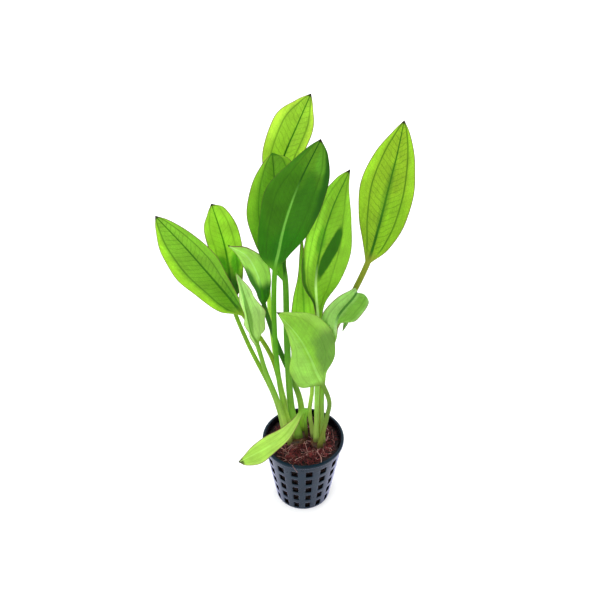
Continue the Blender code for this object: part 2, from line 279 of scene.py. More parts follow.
def plastic(name, dark, light, specular, sheen):
    """Moulded black polypropylene, with smudges in its tint and gloss, and a fine grain."""
    material, tree, shader = new_material(name)
    place = add(tree, "ShaderNodeTexCoord").outputs["Object"]
    smudges = add(tree, NOISE, {"Vector": place, "Scale": 1 / SMUDGE, "Detail": 3}).outputs["Fac"]
    tint = add(tree, MIX, {0: smudges, MIX_A: linear(dark), MIX_B: linear(light)}, data_type="RGBA")
    gloss = add(tree, RANGE, {0: smudges, 1: NOISE_LOW, 2: NOISE_HIGH,
                              3: PLASTIC_ROUGHNESS[0], 4: PLASTIC_ROUGHNESS[1]}).outputs[0]
    grain = add(tree, NOISE, {"Vector": place, "Scale": 1 / GRAIN, "Detail": 2}).outputs["Fac"]
    bump = add(tree, "ShaderNodeBump", {"Height": grain, "Distance": GRAIN_DEPTH, "Strength": 1})
    tree.links.new(tint.outputs[MIX_OUT], shader.inputs["Base Color"])
    tree.links.new(gloss, shader.inputs["Roughness"])
    tree.links.new(bump.outputs[0], shader.inputs["Normal"])
    shader.inputs["Specular IOR Level"].default_value = specular
    shader.inputs["Sheen Weight"].default_value = sheen
    shader.inputs["Sheen Roughness"].default_value = SHEEN_ROUGHNESS
    shader.inputs["Sheen Tint"].default_value = linear(SHEEN_TINT)
    return material


black_plastic = plastic("moulded black polypropylene", "#000e18", "#022230", specular=0.1, sheen=1.0)
# painted shade: a blacker, almost sheenless copy of the plastic for the inside and the edges of the holes
painted_shade_plastic = plastic("black polypropylene with painted shade", "#030205", "#0a060a", specular=0.06, sheen=0.05)
print("made", black_plastic.name, "and", painted_shade_plastic.name)

# %% [markdown]
# ## The net pot's wall
# The wall is a cone with 16 columns of 5 square holes. It follows a rule, so Geometry Nodes make it: a
# flat grid in which one unit is one hole with its ribs, the middle of each unit deleted, and the whole
# wrapped round a cone. Each unit has eight steps, four of them in the hole. Moving the steps gives the
# holes their real width and height. Solidify then gives the sheet its thickness, and Bevel the soft
# edges of a moulded part.

# %% Sizes of the wall
POT_HEIGHT = 48 * MM
LIP_HEIGHT = 2 * MM
LIP_RADIUS = 25 * MM
MOUTH_RADIUS = 24.2 * MM
BASE_RADIUS = 17 * MM
WALL = 1.0 * MM
WALL_VALUES = {
    "Columns": 16,
    "Rows": 5,
    "First column": math.radians(-81),
    "Hole width share": 0.46,
    "Hole height share": 0.605,
    "Pitch": 8.6 * MM,
    "Lowest edge": 0.3 * MM,
    "Base radius": BASE_RADIUS,
    "Flare": (MOUTH_RADIUS - BASE_RADIUS) / (POT_HEIGHT - LIP_HEIGHT),
    "Material": black_plastic,
}
print("holes in the wall:", WALL_VALUES["Columns"] * WALL_VALUES["Rows"])

# %% Steps of the grid
UNIT_STEPS = 8
UNIT_MIDDLE = 0.5
HOLE_HALF = 0.25    # half of a hole's steps, in units
STEP_RATIO = UNIT_MIDDLE / HOLE_HALF


def stretched(tree, unit_place, share):
    """Move the steps of each unit so that the hole takes its share of it."""
    whole = add(tree, MATH, {0: unit_place}, operation="FLOOR").outputs[0]
    part = add(tree, MATH, {0: unit_place, 1: whole}, operation="SUBTRACT").outputs[0]
    off_middle = add(tree, MATH, {0: part, 1: UNIT_MIDDLE}, operation="SUBTRACT").outputs[0]
    size = add(tree, MATH, {0: off_middle}, operation="ABSOLUTE").outputs[0]
    side = add(tree, MATH, {0: off_middle}, operation="SIGN").outputs[0]
    in_hole_part = add(tree, MATH, {0: size, 1: HOLE_HALF}, operation="MINIMUM").outputs[0]
    in_rib_part = add(tree, MATH, {0: size, 1: in_hole_part}, operation="SUBTRACT").outputs[0]
    hole_scale = add(tree, MATH, {0: share, 1: STEP_RATIO}, operation="MULTIPLY").outputs[0]
    rib_scale = add(tree, MATH, {0: STEP_RATIO, 1: hole_scale}, operation="SUBTRACT").outputs[0]
    rib = add(tree, MATH, {0: in_rib_part, 1: rib_scale}, operation="MULTIPLY").outputs[0]
    distance = add(tree, MATH, {0: in_hole_part, 1: hole_scale, 2: rib}, operation="MULTIPLY_ADD").outputs[0]
    middle = add(tree, MATH, {0: whole, 1: UNIT_MIDDLE}, operation="ADD").outputs[0]
    return add(tree, MATH, {0: side, 1: distance, 2: middle}, operation="MULTIPLY_ADD").outputs[0]


def in_hole(tree, unit_place):
    """1 where a place is in the middle half of its unit."""
    share = add(tree, MATH, {0: unit_place}, operation="FRACT").outputs[0]
    return add(tree, MATH, {0: share, 1: UNIT_MIDDLE, 2: HOLE_HALF}, operation="COMPARE").outputs[0]


# %% Tree of the wall
BAND_UNITS = 0.5            # plain band above the holes
MERGE_DISTANCE = 0.01 * MM


def holed_grid(tree, given, place):
    """The flat grid with its holes left out; a row of so many steps has one point more."""
    columns, rows = given["Columns"], given["Rows"]
    tall = add(tree, MATH, {0: rows, 1: BAND_UNITS}, operation="ADD").outputs[0]
    wide_points, tall_points = (
        add(tree, MATH, {0: units, 1: UNIT_STEPS, 2: 1.0}, operation="MULTIPLY_ADD").outputs[0]
        for units in (columns, tall))
    grid = add(tree, "GeometryNodeMeshGrid", {
        "Size X": columns, "Size Y": tall, "Vertices X": wide_points, "Vertices Y": tall_points}).outputs[0]
    size = add(tree, JOIN, {0: columns, 1: tall}).outputs[0]
    half_size = add(tree, VECTOR, {0: size, "Scale": 0.5}, operation="SCALE").outputs[0]
    start = add(tree, "GeometryNodeTransform", {"Geometry": grid, "Translation": half_size}).outputs[0]
    in_row = add(tree, MATH, {0: place[1], 1: rows}, operation="LESS_THAN").outputs[0]
    across, up = (in_hole(tree, unit_place) for unit_place in place[:2])
    in_both = add(tree, MATH, {0: across, 1: up}, operation="MULTIPLY").outputs[0]
    hole = add(tree, MATH, {0: in_both, 1: in_row}, operation="MULTIPLY").outputs[0]
    return add(tree, "GeometryNodeDeleteGeometry", {"Geometry": start, "Selection": hole},
               domain="FACE").outputs[0]


def place_on_cone(tree, given, place):
    """Where a place of the flat grid comes to lie on the cone."""
    column = stretched(tree, place[0], given["Hole width share"])
    row = stretched(tree, place[1], given["Hole height share"])
    height = add(tree, MATH, {0: row, 1: given["Pitch"], 2: given["Lowest edge"]},
                 operation="MULTIPLY_ADD").outputs[0]
    radius = add(tree, MATH, {0: height, 1: given["Flare"], 2: given["Base radius"]},
                 operation="MULTIPLY_ADD").outputs[0]
    turns, middle_turn = (add(tree, MATH, {0: units, 1: given["Columns"]}, operation="DIVIDE").outputs[0]
                          for units in (column, UNIT_MIDDLE))
    from_first = add(tree, MATH, {0: turns, 1: middle_turn}, operation="SUBTRACT").outputs[0]
    angle = add(tree, MATH, {0: from_first, 1: math.tau, 2: given["First column"]},
                operation="MULTIPLY_ADD").outputs[0]
    east, north = (add(tree, MATH, {0: angle}, operation=part).outputs[0] for part in ("COSINE", "SINE"))
    outward = add(tree, JOIN, {0: east, 1: north}).outputs[0]
    flat = add(tree, VECTOR, {0: outward, "Scale": radius}, operation="SCALE").outputs[0]
    upward = add(tree, JOIN, {2: height}).outputs[0]
    return add(tree, VECTOR, {0: flat, 1: upward}, operation="ADD").outputs[0]


def wall_tree():
    """The whole tree: the grid with holes, wrapped round the cone and closed where its ends meet."""
    tree, given = new_tree("Net pot wall", {
        "Columns": "Int", "Rows": "Int", "First column": "Float", "Hole width share": "Float",
        "Hole height share": "Float", "Pitch": "Float", "Lowest edge": "Float",
        "Base radius": "Float", "Flare": "Float", "Material": "Material"})
    position = add(tree, "GeometryNodeInputPosition").outputs[0]
    place = add(tree, SPLIT, {0: position}).outputs
    cone = add(tree, "GeometryNodeSetPosition", {
        "Geometry": holed_grid(tree, given, place), "Position": place_on_cone(tree, given, place)})
    closed = add(tree, "GeometryNodeMergeByDistance", {
        "Geometry": cone.outputs[0], "Distance": MERGE_DISTANCE})
    end_tree(tree, closed.outputs[0], given["Material"])
    return tree


# %% The wall's thickness and soft edges
EDGE_ROUNDING = 0.22 * MM
EDGE_STEPS = 2
EDGE_ANGLE = math.radians(40)

pot = grow(new_object("net_pot_moulded", bpy.data.meshes.new("net_pot_moulded")), wall_tree(), WALL_VALUES)
thickness = pot.modifiers.new("Wall thickness", "SOLIDIFY")
thickness.thickness = WALL
thickness.offset = -1
thickness.use_even_offset = True
bevel = pot.modifiers.new("Moulded edges", "BEVEL")
bevel.width = EDGE_ROUNDING
bevel.segments = EDGE_STEPS
bevel.limit_method = "ANGLE"
bevel.angle_limit = EDGE_ANGLE
fixed_mesh(pot)
print("wall faces:", len(pot.data.polygons))

# %% [markdown]
# ## The pot's lip and floor
# The lip is a ring with rounded edges, and the floor a disc with eight drainage slots. Both are turned
# from a profile, as on a lathe, and joined to the wall with exact Booleans, because the real pot came
# out of its mould in one piece.

# %% Profiles on a lathe
TURN_STEPS = 128
CORNER_STEPS = 4
QUARTER_TURN = 90
SAME_POINT = 0.001 * MM


def rounded_box(inner, outer, low, high, rounding):
    """Profile of a ring with rounded edges, as (radius, height) points."""
    corners = (    # radius, height, the ways in to the arc's centre, and the angle where the arc starts
        (outer, low, -1, 1, -90), (outer, high, -1, -1, 0), (inner, high, 1, -1, 90), (inner, low, 1, 1, 180))
    points = []
    for radius, height, inward, upward, start in corners:
        for step in range(CORNER_STEPS + 1):
            angle = math.radians(start + QUARTER_TURN * step / CORNER_STEPS)
            points.append((radius + rounding * (inward + math.cos(angle)),
                           height + rounding * (upward + math.sin(angle))))
    return points


def turned(name, profile, closed):
    """Spin a profile of (radius, height) points round the Z axis; closed joins its ends."""
    bm = bmesh.new()
    rings = []
    for step in range(TURN_STEPS):
        angle = math.tau * step / TURN_STEPS
        rings.append([bm.verts.new((radius * math.cos(angle), radius * math.sin(angle), height))
                      for radius, height in profile])
    count = len(profile)
    for step, ring in enumerate(rings):
        after = rings[(step + 1) % TURN_STEPS]
        for point in range(count if closed else count - 1):
            above = (point + 1) % count
            bm.faces.new((ring[point], after[point], after[above], ring[above]))
    bmesh.ops.remove_doubles(bm, verts=bm.verts, dist=SAME_POINT)
    return new_object(name, mesh_from(name, bm))


# %% Drainage slots, and how solids are joined
FLOOR_SLOTS = 8
SLOT_SIZE = (7 * MM, 2.6 * MM, 5 * MM)
SLOT_MIDDLE = 9.5 * MM


def slot_boxes():
    """Boxes that cut the floor's slots."""
    bm = bmesh.new()
    for slot in range(FLOOR_SLOTS):
        turn = WALL_VALUES["First column"] + slot * math.tau / FLOOR_SLOTS
        matrix = (Matrix.Rotation(turn, 4, "Z") @ Matrix.Translation((SLOT_MIDDLE, 0, 0))
                  @ Matrix.Diagonal((*SLOT_SIZE, 1)))
        bmesh.ops.create_cube(bm, size=1, matrix=matrix)
    return new_object("slot_boxes", mesh_from("slot_boxes", bm))


def join_solid(piece, other, operation):
    """Join another solid to a piece, or cut it out, and remove the other."""
    boolean = piece.modifiers.new(other.name, "BOOLEAN")
    boolean.operation = operation
    boolean.object = other
    boolean.solver = "EXACT"
    fixed_mesh(piece)
    bpy.data.objects.remove(other)


# %% Lip and floor, joined to the wall
LIP_ROUNDING = 0.5 * MM
FLOOR_ROUNDING = 0.5 * MM
FLOOR_ROUNDING_MIDDLE = 0.15 * MM    # how far the middle of that rounding lies from both faces
FLOOR_OVERLAP = 0.05 * MM            # how far its side stands out to meet the wall's
FLOOR_PROFILE = (
    (0, 0),
    (BASE_RADIUS - FLOOR_ROUNDING, 0),
    (BASE_RADIUS - FLOOR_ROUNDING_MIDDLE, FLOOR_ROUNDING_MIDDLE),
    (BASE_RADIUS + FLOOR_OVERLAP, FLOOR_ROUNDING),
    (BASE_RADIUS + FLOOR_OVERLAP, WALL),
    (0, WALL),
)

lip_profile = rounded_box(MOUTH_RADIUS - WALL, LIP_RADIUS, POT_HEIGHT - LIP_HEIGHT, POT_HEIGHT, LIP_ROUNDING)
lip = turned("lip", lip_profile, closed=True)
pot_floor = turned("pot_floor", FLOOR_PROFILE, closed=False)
join_solid(pot_floor, slot_boxes(), "DIFFERENCE")
join_solid(pot, lip, "UNION")
join_solid(pot, pot_floor, "UNION")
print("pot faces:", len(pot.data.polygons))

# %% Painted shade on the inside
FACING = 0.3    # cosine beyond which a face counts as looking inward or outward
PAINTED_SHADE_SLOT = 1
SHARP_ANGLE = math.radians(50)


def gets_painted_shade(face):
    """Whether a face of the pot looks inward or lines a hole, where it gets painted shade."""
    outward = face.normal.dot(Vector((face.center.x, face.center.y, 0)).normalized())
    beside_hole = WALL_VALUES["Lowest edge"] < face.center.z < POT_HEIGHT - LIP_HEIGHT - WALL
    return outward < -FACING or (beside_hole and outward < FACING)


pot.data.materials.clear()
for coat in (black_plastic, painted_shade_plastic):
    pot.data.materials.append(coat)
# faces inside the pot and lining its holes get the painted shade
shaded_faces = [face for face in pot.data.polygons if gets_painted_shade(face)]
for face in shaded_faces:
    face.material_index = PAINTED_SHADE_SLOT
print("faces with painted shade:", len(shaded_faces), "of", len(pot.data.polygons))
pot.data.shade_smooth()
pot.data.set_sharp_from_angle(angle=SHARP_ANGLE)
place_piece(pot, "pot_plastic", "net_pot")

# %% [markdown]
# ## The coco fibre plug
# The plug is milled coconut husk, damp and maroon-brown: crumbs, short fibres and dust pressed into the
# pot. Its body is a lathe shape pushed in by noise, so that it stands off the wall unevenly behind the
# holes. Coarse noise makes the lumps and fine noise the crumbs. The loose threads come after it.

# %% Materials of the plug and its threads
SHADED_BELOW = (40 * MM, 42.5 * MM)    # heights where painted shade makes the husk nearly black, and where it has its own colour at the open top
SHADED_SHARE = 0.18                    # share of its colour that the husk keeps under the painted shade
GRAIN_SPREAD = (0.35, 0.7)          # part of the noise that turns the dark colour into the light one
GRAIN_WEIGHT = 0.6                  # weight of the noise beside each thread's own tone
GRAIN_HEIGHTS = 3                   # how many times wider than high a grain is
HUSK_ROUGHNESS = 0.6
HUSK_SPECULAR = 0.2


def fibre_material(name, dark, light, speckle):
    """Damp husk: a dull colour broken up by noise and by each thread's tone, nearly black low down with
    painted shade.
    """
    material, tree, shader = new_material(name)
    place = add(tree, "ShaderNodeTexCoord").outputs["Object"]
    height = add(tree, SPLIT, {0: place}).outputs[2]
    # painted shade: below the top the husk, its threads and roots darken to nearly black, as the pot's inside
    # lies in shade
    painted_shade_factor = add(tree, RANGE, {0: height, 1: SHADED_BELOW[0], 2: SHADED_BELOW[1],
                                 3: SHADED_SHARE, 4: 1.0}).outputs[0]
    tone = add(tree, "ShaderNodeAttribute", attribute_name="tone").outputs["Fac"]
    grains = add(tree, NOISE, {"Vector": place, "Scale": 1 / speckle, "Detail": 5,
                               "Roughness": 0.7}).outputs["Fac"]
    spread = add(tree, RANGE, {0: grains, 1: GRAIN_SPREAD[0], 2: GRAIN_SPREAD[1]}).outputs[0]
    both = add(tree, MATH, {0: spread, 1: GRAIN_WEIGHT, 2: tone},
               operation="MULTIPLY_ADD", use_clamp=True).outputs[0]
    colour = add(tree, MIX, {0: both, MIX_A: linear(dark), MIX_B: linear(light)}, data_type="RGBA")
    bump = add(tree, "ShaderNodeBump", {
        "Height": grains, "Distance": speckle / GRAIN_HEIGHTS, "Strength": 0.8})
    damp_and_shaded = add(tree, VECTOR, {0: colour.outputs[MIX_OUT], "Scale": painted_shade_factor}, operation="SCALE").outputs[0]
    tree.links.new(damp_and_shaded, shader.inputs["Base Color"])
    tree.links.new(bump.outputs[0], shader.inputs["Normal"])
    shader.inputs["Roughness"].default_value = HUSK_ROUGHNESS
    shader.inputs["Specular IOR Level"].default_value = HUSK_SPECULAR
    return material


husk = fibre_material("damp coco husk", "#070304", "#2c0e0f", speckle=1.6 * MM)
husk_threads = fibre_material("coco fibre threads", "#0a0406", "#6e2c2c", speckle=2.5 * MM)
root_threads = fibre_material("fine pale roots", "#70423e", "#c89c94", speckle=3 * MM)
print("made", husk.name, "with", husk_threads.name, "and", root_threads.name)

# %% Surface of the plug
PLUG_TOP = 44 * MM
PLUG_BOTTOM = 1.3 * MM
PLUG_GAP = 0.12 * MM
LUMP = (9 * MM, 1.0 * MM)       # size and height
CLOD = (3.2 * MM, 1.1 * MM)
CRUMB = (1.2 * MM, 0.5 * MM)
TOP_POWER = 4                   # how late, going up, the side takes up the roughness of the top


def rough(place, layers):
    """Height of a surface built up from layers of noise, each with its size and height."""
    return sum(height * noise.noise(Vector(place) / size) for size, height in layers)


def inner_radius(height):
    """Radius of the pot's inner wall."""
    return BASE_RADIUS - WALL + (height - WALL) * WALL_VALUES["Flare"]


def soil_height(x, y):
    """Height of the soil's top surface."""
    return PLUG_TOP + rough((x, y, 0), (LUMP, CLOD, CRUMB))


def side_place(share, angle):
    """A place on the plug's side, a share of the way up."""
    height = PLUG_BOTTOM + (PLUG_TOP - PLUG_BOTTOM) * share
    radius = inner_radius(height) - PLUG_GAP
    place = (radius * math.cos(angle), radius * math.sin(angle), height)
    radius += min(0, rough(place, (CLOD, CRUMB)) - CRUMB[1])
    lifted = height + (soil_height(place[0], place[1]) - PLUG_TOP) * share ** TOP_POWER
    return radius * math.cos(angle), radius * math.sin(angle), lifted


def top_place(share, angle):
    """A place on the plug's top, a share of the way in."""
    radius = (inner_radius(PLUG_TOP) - PLUG_GAP - CLOD[1]) * (1 - share)
    x, y = radius * math.cos(angle), radius * math.sin(angle)
    return x, y, soil_height(x, y)


# %% Body of the plug
PLUG_SIDE_STEPS = 56
PLUG_TOP_STEPS = 34
PLUG_TURN_STEPS = 144


def plug_object():
    """Rings up the side and in over the top, joined by faces and closed at both ends."""
    bm = bmesh.new()
    angles = [math.tau * turn / PLUG_TURN_STEPS for turn in range(PLUG_TURN_STEPS)]
    levels = [(side_place, step / PLUG_SIDE_STEPS) for step in range(PLUG_SIDE_STEPS + 1)]
    levels += [(top_place, step / PLUG_TOP_STEPS) for step in range(1, PLUG_TOP_STEPS)]
    rings = [[bm.verts.new(place_at(share, angle)) for angle in angles] for place_at, share in levels]
    for lower, upper in zip(rings, rings[1:]):
        for turn in range(PLUG_TURN_STEPS):
            after = (turn + 1) % PLUG_TURN_STEPS
            bm.faces.new((lower[turn], lower[after], upper[after], upper[turn]))
    bm.faces.new(rings[0])
    bm.faces.new(rings[-1])
    return new_object("soil_body", mesh_from("soil_body", bm))


soil = plug_object()
soil.data.shade_smooth()
soil.data.materials.append(husk)
place_piece(soil, "coco_fibre", "soil_plug")

# %% [markdown]
# ## Loose threads
# Short curled fibres lie on the soil and behind the holes, and pale roots run among them. One tree
# makes them all: it scatters points on a surface, lays a short line on each, bends the lines with noise,
# gives them thickness and keeps them inside the pot. Only the values differ. A density is a number of
# threads on each square metre.

# %% Lines scattered on a surface
LINE_START, LINE_END = (-0.5, 0, 0), (0.5, 0, 0)
THREAD_POINTS = 9
SHORTEST = 0.35             # of the given length
SPIN_SEED = 5
LENGTH_SEED = 6


def scattered_lines(tree, given):
    """Short lines on a surface, each turned, tilted and as long as chance has it."""
    spots = add(tree, "GeometryNodeDistributePointsOnFaces", {
        "Mesh": given["Surface"], "Density": given["Density"], "Seed": given["Seed"]}).outputs
    line = add(tree, "GeometryNodeCurvePrimitiveLine", {"Start": LINE_START, "End": LINE_END}).outputs[0]
    low, high = (add(tree, VECTOR, {0: (side, side, 0), "Scale": given["Tilt"]}, operation="SCALE").outputs[0]
                 for side in (-1, 1))
    tilt = add(tree, RANDOM, {0: low, 1: high, "Seed": given["Seed"]}, data_type="FLOAT_VECTOR").outputs[0]
    spin = add(tree, RANDOM, {0: (0, 0, 0), 1: (0, 0, math.tau), "Seed": SPIN_SEED},
               data_type="FLOAT_VECTOR").outputs[0]
    angles = add(tree, VECTOR, {0: tilt, 1: spin}, operation="ADD").outputs[0]
    own_turn = add(tree, "FunctionNodeEulerToRotation", {0: angles}).outputs[0]
    turn = add(tree, "FunctionNodeRotateRotation", {0: spots["Rotation"], 1: own_turn},
               rotation_space="LOCAL").outputs[0]
    share = add(tree, RANDOM, {2: SHORTEST, 3: 1.0, "Seed": LENGTH_SEED}, data_type="FLOAT").outputs[1]
    length = add(tree, MATH, {0: share, 1: given["Length"]}, operation="MULTIPLY").outputs[0]
    lines = add(tree, "GeometryNodeInstanceOnPoints", {
        "Points": spots["Points"], "Instance": line, "Rotation": turn, "Scale": length}).outputs[0]
    real = add(tree, "GeometryNodeRealizeInstances", {"Geometry": lines}).outputs[0]
    return add(tree, "GeometryNodeResampleCurve", {"Curve": real, "Count": THREAD_POINTS}).outputs[0]


# %% Curls, and the edge that threads keep to
FLAT_CURL = (1, 1, 0.3)     # curls lie flat more than they stand up


def curled(tree, given, lines, own):
    """Bend lines with noise, and lift some of them."""
    place = add(tree, "GeometryNodeInputPosition").outputs[0]
    waves = add(tree, VECTOR, {0: place, 1: given["Curl size"]}, operation="DIVIDE").outputs[0]
    bend = add(tree, NOISE, {"Vector": waves, "W": own["noise"], "Scale": 1.0, "Detail": 1.0},
               noise_dimensions="4D").outputs["Color"]
    middle_bend = add(tree, VECTOR, {0: bend, 1: NOISE_MIDDLE}, operation="SUBTRACT").outputs[0]
    amount = add(tree, VECTOR, {0: middle_bend, "Scale": given["Curl"]}, operation="SCALE").outputs[0]
    low_bend = add(tree, VECTOR, {0: amount, 1: FLAT_CURL}, operation="MULTIPLY").outputs[0]
    rise = add(tree, MATH, {0: own["lift"], 1: given["Lift"]}, operation="MULTIPLY").outputs[0]
    lift = add(tree, JOIN, {2: rise}).outputs[0]
    moved = add(tree, VECTOR, {0: low_bend, 1: lift}, operation="ADD").outputs[0]
    return add(tree, "GeometryNodeSetPosition", {"Geometry": lines, "Offset": moved}).outputs[0]


def kept_inside(tree, given, lines):
    """Pull in what lies further from the pot's axis than the given reach."""
    place = add(tree, "GeometryNodeInputPosition").outputs[0]
    flat = add(tree, VECTOR, {0: place, 1: (1, 1, 0)}, operation="MULTIPLY").outputs[0]
    height = add(tree, VECTOR, {0: place, 1: (0, 0, 1)}, operation="MULTIPLY").outputs[0]
    radius = add(tree, VECTOR, {0: flat}, operation="LENGTH").outputs["Value"]
    most = add(tree, MATH, {0: given["Reach"], 1: radius}, operation="DIVIDE").outputs[0]
    shrink = add(tree, MATH, {0: most, 1: 1.0}, operation="MINIMUM").outputs[0]
    kept = add(tree, VECTOR, {0: flat, "Scale": shrink}, operation="SCALE").outputs[0]
    inside = add(tree, VECTOR, {0: kept, 1: height}, operation="ADD").outputs[0]
    return add(tree, "GeometryNodeSetPosition", {"Geometry": lines, "Position": inside}).outputs[0]


# %% Threads by Geometry Nodes
THREAD_SIDES = 4
OWN_VALUES = {    # of each thread: smallest, largest and seed
    "noise": (0.0, 50.0, 7),
    "lift": (0.0, 1.0, 8),
    "thickness": (0.5, 1.3, 9),
    "tone": (0.0, 0.7, 10),
}


def thread_tree():
    """The whole tree: lines become tubes, each with its own thickness and tone."""
    tree, given = new_tree("Loose threads", {
        "Surface": "Geometry", "Density": "Float", "Length": "Float", "Thickness": "Float", "Curl": "Float",
        "Curl size": "Float", "Tilt": "Float", "Lift": "Float", "Reach": "Float", "Seed": "Int",
        "Material": "Material"})
    thread = add(tree, "GeometryNodeCurveOfPoint").outputs["Curve Index"]
    own = {
        label: add(tree, RANDOM, {2: least, 3: most, "ID": thread, "Seed": seed},
                   data_type="FLOAT").outputs[1]
        for label, (least, most, seed) in OWN_VALUES.items()}
    lines = kept_inside(tree, given, curled(tree, given, scattered_lines(tree, given), own))
    toned = add(tree, "GeometryNodeStoreNamedAttribute", {
        "Geometry": lines, "Name": "tone", "Value": own["tone"]},
                data_type="FLOAT", domain="POINT").outputs[0]
    size = add(tree, MATH, {0: own["thickness"], 1: given["Thickness"]}, operation="MULTIPLY").outputs[0]
    section = add(tree, "GeometryNodeCurvePrimitiveCircle", {
        "Resolution": THREAD_SIDES, "Radius": 0.5}).outputs[0]
    tubes = add(tree, "GeometryNodeCurveToMesh", {
        "Curve": toned, "Profile Curve": section, "Scale": size, "Fill Caps": True}).outputs[0]
    smooth = add(tree, "GeometryNodeSetShadeSmooth", {"Geometry": tubes}).outputs[0]
    end_tree(tree, smooth, given["Material"])
    return tree


# %% Surfaces to scatter on
PATCH_STEPS = 24
HOLE_PATCH_DEPTH = 0.3 * MM


def soil_patch(reach):
    """The top of the soil out to a radius."""
    bm = bmesh.new()
    bmesh.ops.create_grid(bm, x_segments=PATCH_STEPS, y_segments=PATCH_STEPS, size=reach)
    far = [vert for vert in bm.verts if math.hypot(vert.co.x, vert.co.y) > reach]
    bmesh.ops.delete(bm, geom=far, context="VERTS")
    for vert in bm.verts:
        vert.co.z = soil_height(vert.co.x, vert.co.y)
    return mesh_from("soil_patch", bm, closed=False)


def hole_patches():
    """A small upright face behind every hole, looking outward."""
    bm = bmesh.new()
    columns, pitch = WALL_VALUES["Columns"], WALL_VALUES["Pitch"]
    half_height = WALL_VALUES["Hole height share"] * pitch / 2
    half_angle = WALL_VALUES["Hole width share"] * math.pi / columns
    for column in range(columns):
        angle = WALL_VALUES["First column"] + math.tau * column / columns
        for row in range(WALL_VALUES["Rows"]):
            height = WALL_VALUES["Lowest edge"] + pitch * (row + UNIT_MIDDLE)
            radius = inner_radius(height) - HOLE_PATCH_DEPTH
            corners = []
            for across, up in ((-1, -1), (1, -1), (1, 1), (-1, 1)):
                turn = angle + across * half_angle
                corners.append(bm.verts.new((radius * math.cos(turn), radius * math.sin(turn),
                                             height + up * half_height)))
            bm.faces.new(corners)
    return mesh_from("hole_patches", bm, closed=False)


# %% Fibres and fine roots
FAR = 1.0    # no limit on how far out a thread reaches
THREADS = {
    "soil_fibres": (soil_patch(21 * MM), {
        "Density": 5e5, "Length": 7 * MM, "Thickness": 0.3 * MM, "Curl": 4.5 * MM, "Curl size": 3 * MM,
        "Tilt": 0.35, "Lift": 0.8 * MM, "Reach": 22.3 * MM, "Seed": 1, "Material": husk_threads}),
    "soil_roots": (soil_patch(19 * MM), {
        "Density": 6e4, "Length": 13 * MM, "Thickness": 0.34 * MM, "Curl": 16 * MM, "Curl size": 5 * MM,
        "Tilt": 0.08, "Lift": 1.4 * MM, "Reach": 21.8 * MM, "Seed": 4, "Material": root_threads}),
    "hole_fibres": (hole_patches(), {
        "Density": 4e5, "Length": 4.5 * MM, "Thickness": 0.24 * MM, "Curl": 2 * MM, "Curl size": 2 * MM,
        "Tilt": 0.3, "Lift": 0.0, "Reach": FAR, "Seed": 2, "Material": husk_threads}),
    "stray_fibres": (hole_patches(), {
        "Density": 6e4, "Length": 5 * MM, "Thickness": 0.16 * MM, "Curl": 2 * MM, "Curl size": 2 * MM,
        "Tilt": 1.3, "Lift": 0.0, "Reach": FAR, "Seed": 12, "Material": husk_threads}),
}
threads = thread_tree()
for name, (surface, values) in THREADS.items():
    place_piece(fixed_mesh(grow(new_object(name, surface), threads, values)), "coco_fibre")

# %% [markdown]
# ## Bits of bark
# Chips and crumbs of husk lie between the threads. They are small balls, flattened, turned and pushed
# out of shape by noise, scattered on the soil by one more tree.

# %% Bits by Geometry Nodes
BIT_STRETCH = ((0.5, 0.5, 0.3), (1.6, 1, 0.8))    # least and most, along each axis
DARKEST_BIT, PALEST_BIT = 0.0, 0.8
TURN_SEED, SIZE_SEED, STRETCH_SEED, TONE_SEED = 1, 2, 3, 4


def bits_tree():
    """The whole tree: balls on points, stretched, turned, toned and dented."""
    tree, given = new_tree("Bits of bark", {
        "Surface": "Geometry", "Density": "Float", "Smallest": "Float", "Largest": "Float", "Dents": "Float",
        "Seed": "Int", "Material": "Material"})
    spots = add(tree, "GeometryNodeDistributePointsOnFaces", {
        "Mesh": given["Surface"], "Density": given["Density"], "Seed": given["Seed"]}).outputs
    ball = add(tree, "GeometryNodeMeshIcoSphere", {"Radius": 0.5, "Subdivisions": 2}).outputs[0]
    turn, stretch = (add(tree, RANDOM, {0: least, 1: most, "Seed": seed}, data_type="FLOAT_VECTOR").outputs[0]
                     for least, most, seed in (((0, 0, 0), (math.tau, math.tau, math.tau), TURN_SEED),
                                               (*BIT_STRETCH, STRETCH_SEED)))
    size, tone = (add(tree, RANDOM, {2: least, 3: most, "Seed": seed}, data_type="FLOAT").outputs[1]
                  for least, most, seed in ((given["Smallest"], given["Largest"], SIZE_SEED),
                                            (DARKEST_BIT, PALEST_BIT, TONE_SEED)))
    scale = add(tree, VECTOR, {0: stretch, "Scale": size}, operation="SCALE").outputs[0]
    toned = add(tree, "GeometryNodeStoreNamedAttribute", {
        "Geometry": spots["Points"], "Name": "tone", "Value": tone},
                data_type="FLOAT", domain="POINT").outputs[0]
    bits = add(tree, "GeometryNodeInstanceOnPoints", {
        "Points": toned, "Instance": ball, "Rotation": turn, "Scale": scale}).outputs[0]
    real = add(tree, "GeometryNodeRealizeInstances", {"Geometry": bits}).outputs[0]
    place = add(tree, "GeometryNodeInputPosition").outputs[0]
    dents = add(tree, NOISE, {"Vector": place, "Scale": 1 / CRUMB[0], "Detail": 1.0}).outputs["Color"]
    middle_dents = add(tree, VECTOR, {0: dents, 1: NOISE_MIDDLE}, operation="SUBTRACT").outputs[0]
    moved = add(tree, VECTOR, {0: middle_dents, "Scale": given["Dents"]}, operation="SCALE").outputs[0]
    dented = add(tree, "GeometryNodeSetPosition", {"Geometry": real, "Offset": moved}).outputs[0]
    end_tree(tree, dented, given["Material"])
    return tree


bark_bits = grow(new_object("bark_bits", soil_patch(20 * MM)), bits_tree(), {
    "Density": 3e5, "Smallest": 0.8 * MM, "Largest": 2.6 * MM, "Dents": 0.9 * MM, "Seed": 3,
    "Material": husk_threads})
place_piece(fixed_mesh(bark_bits), "coco_fibre")
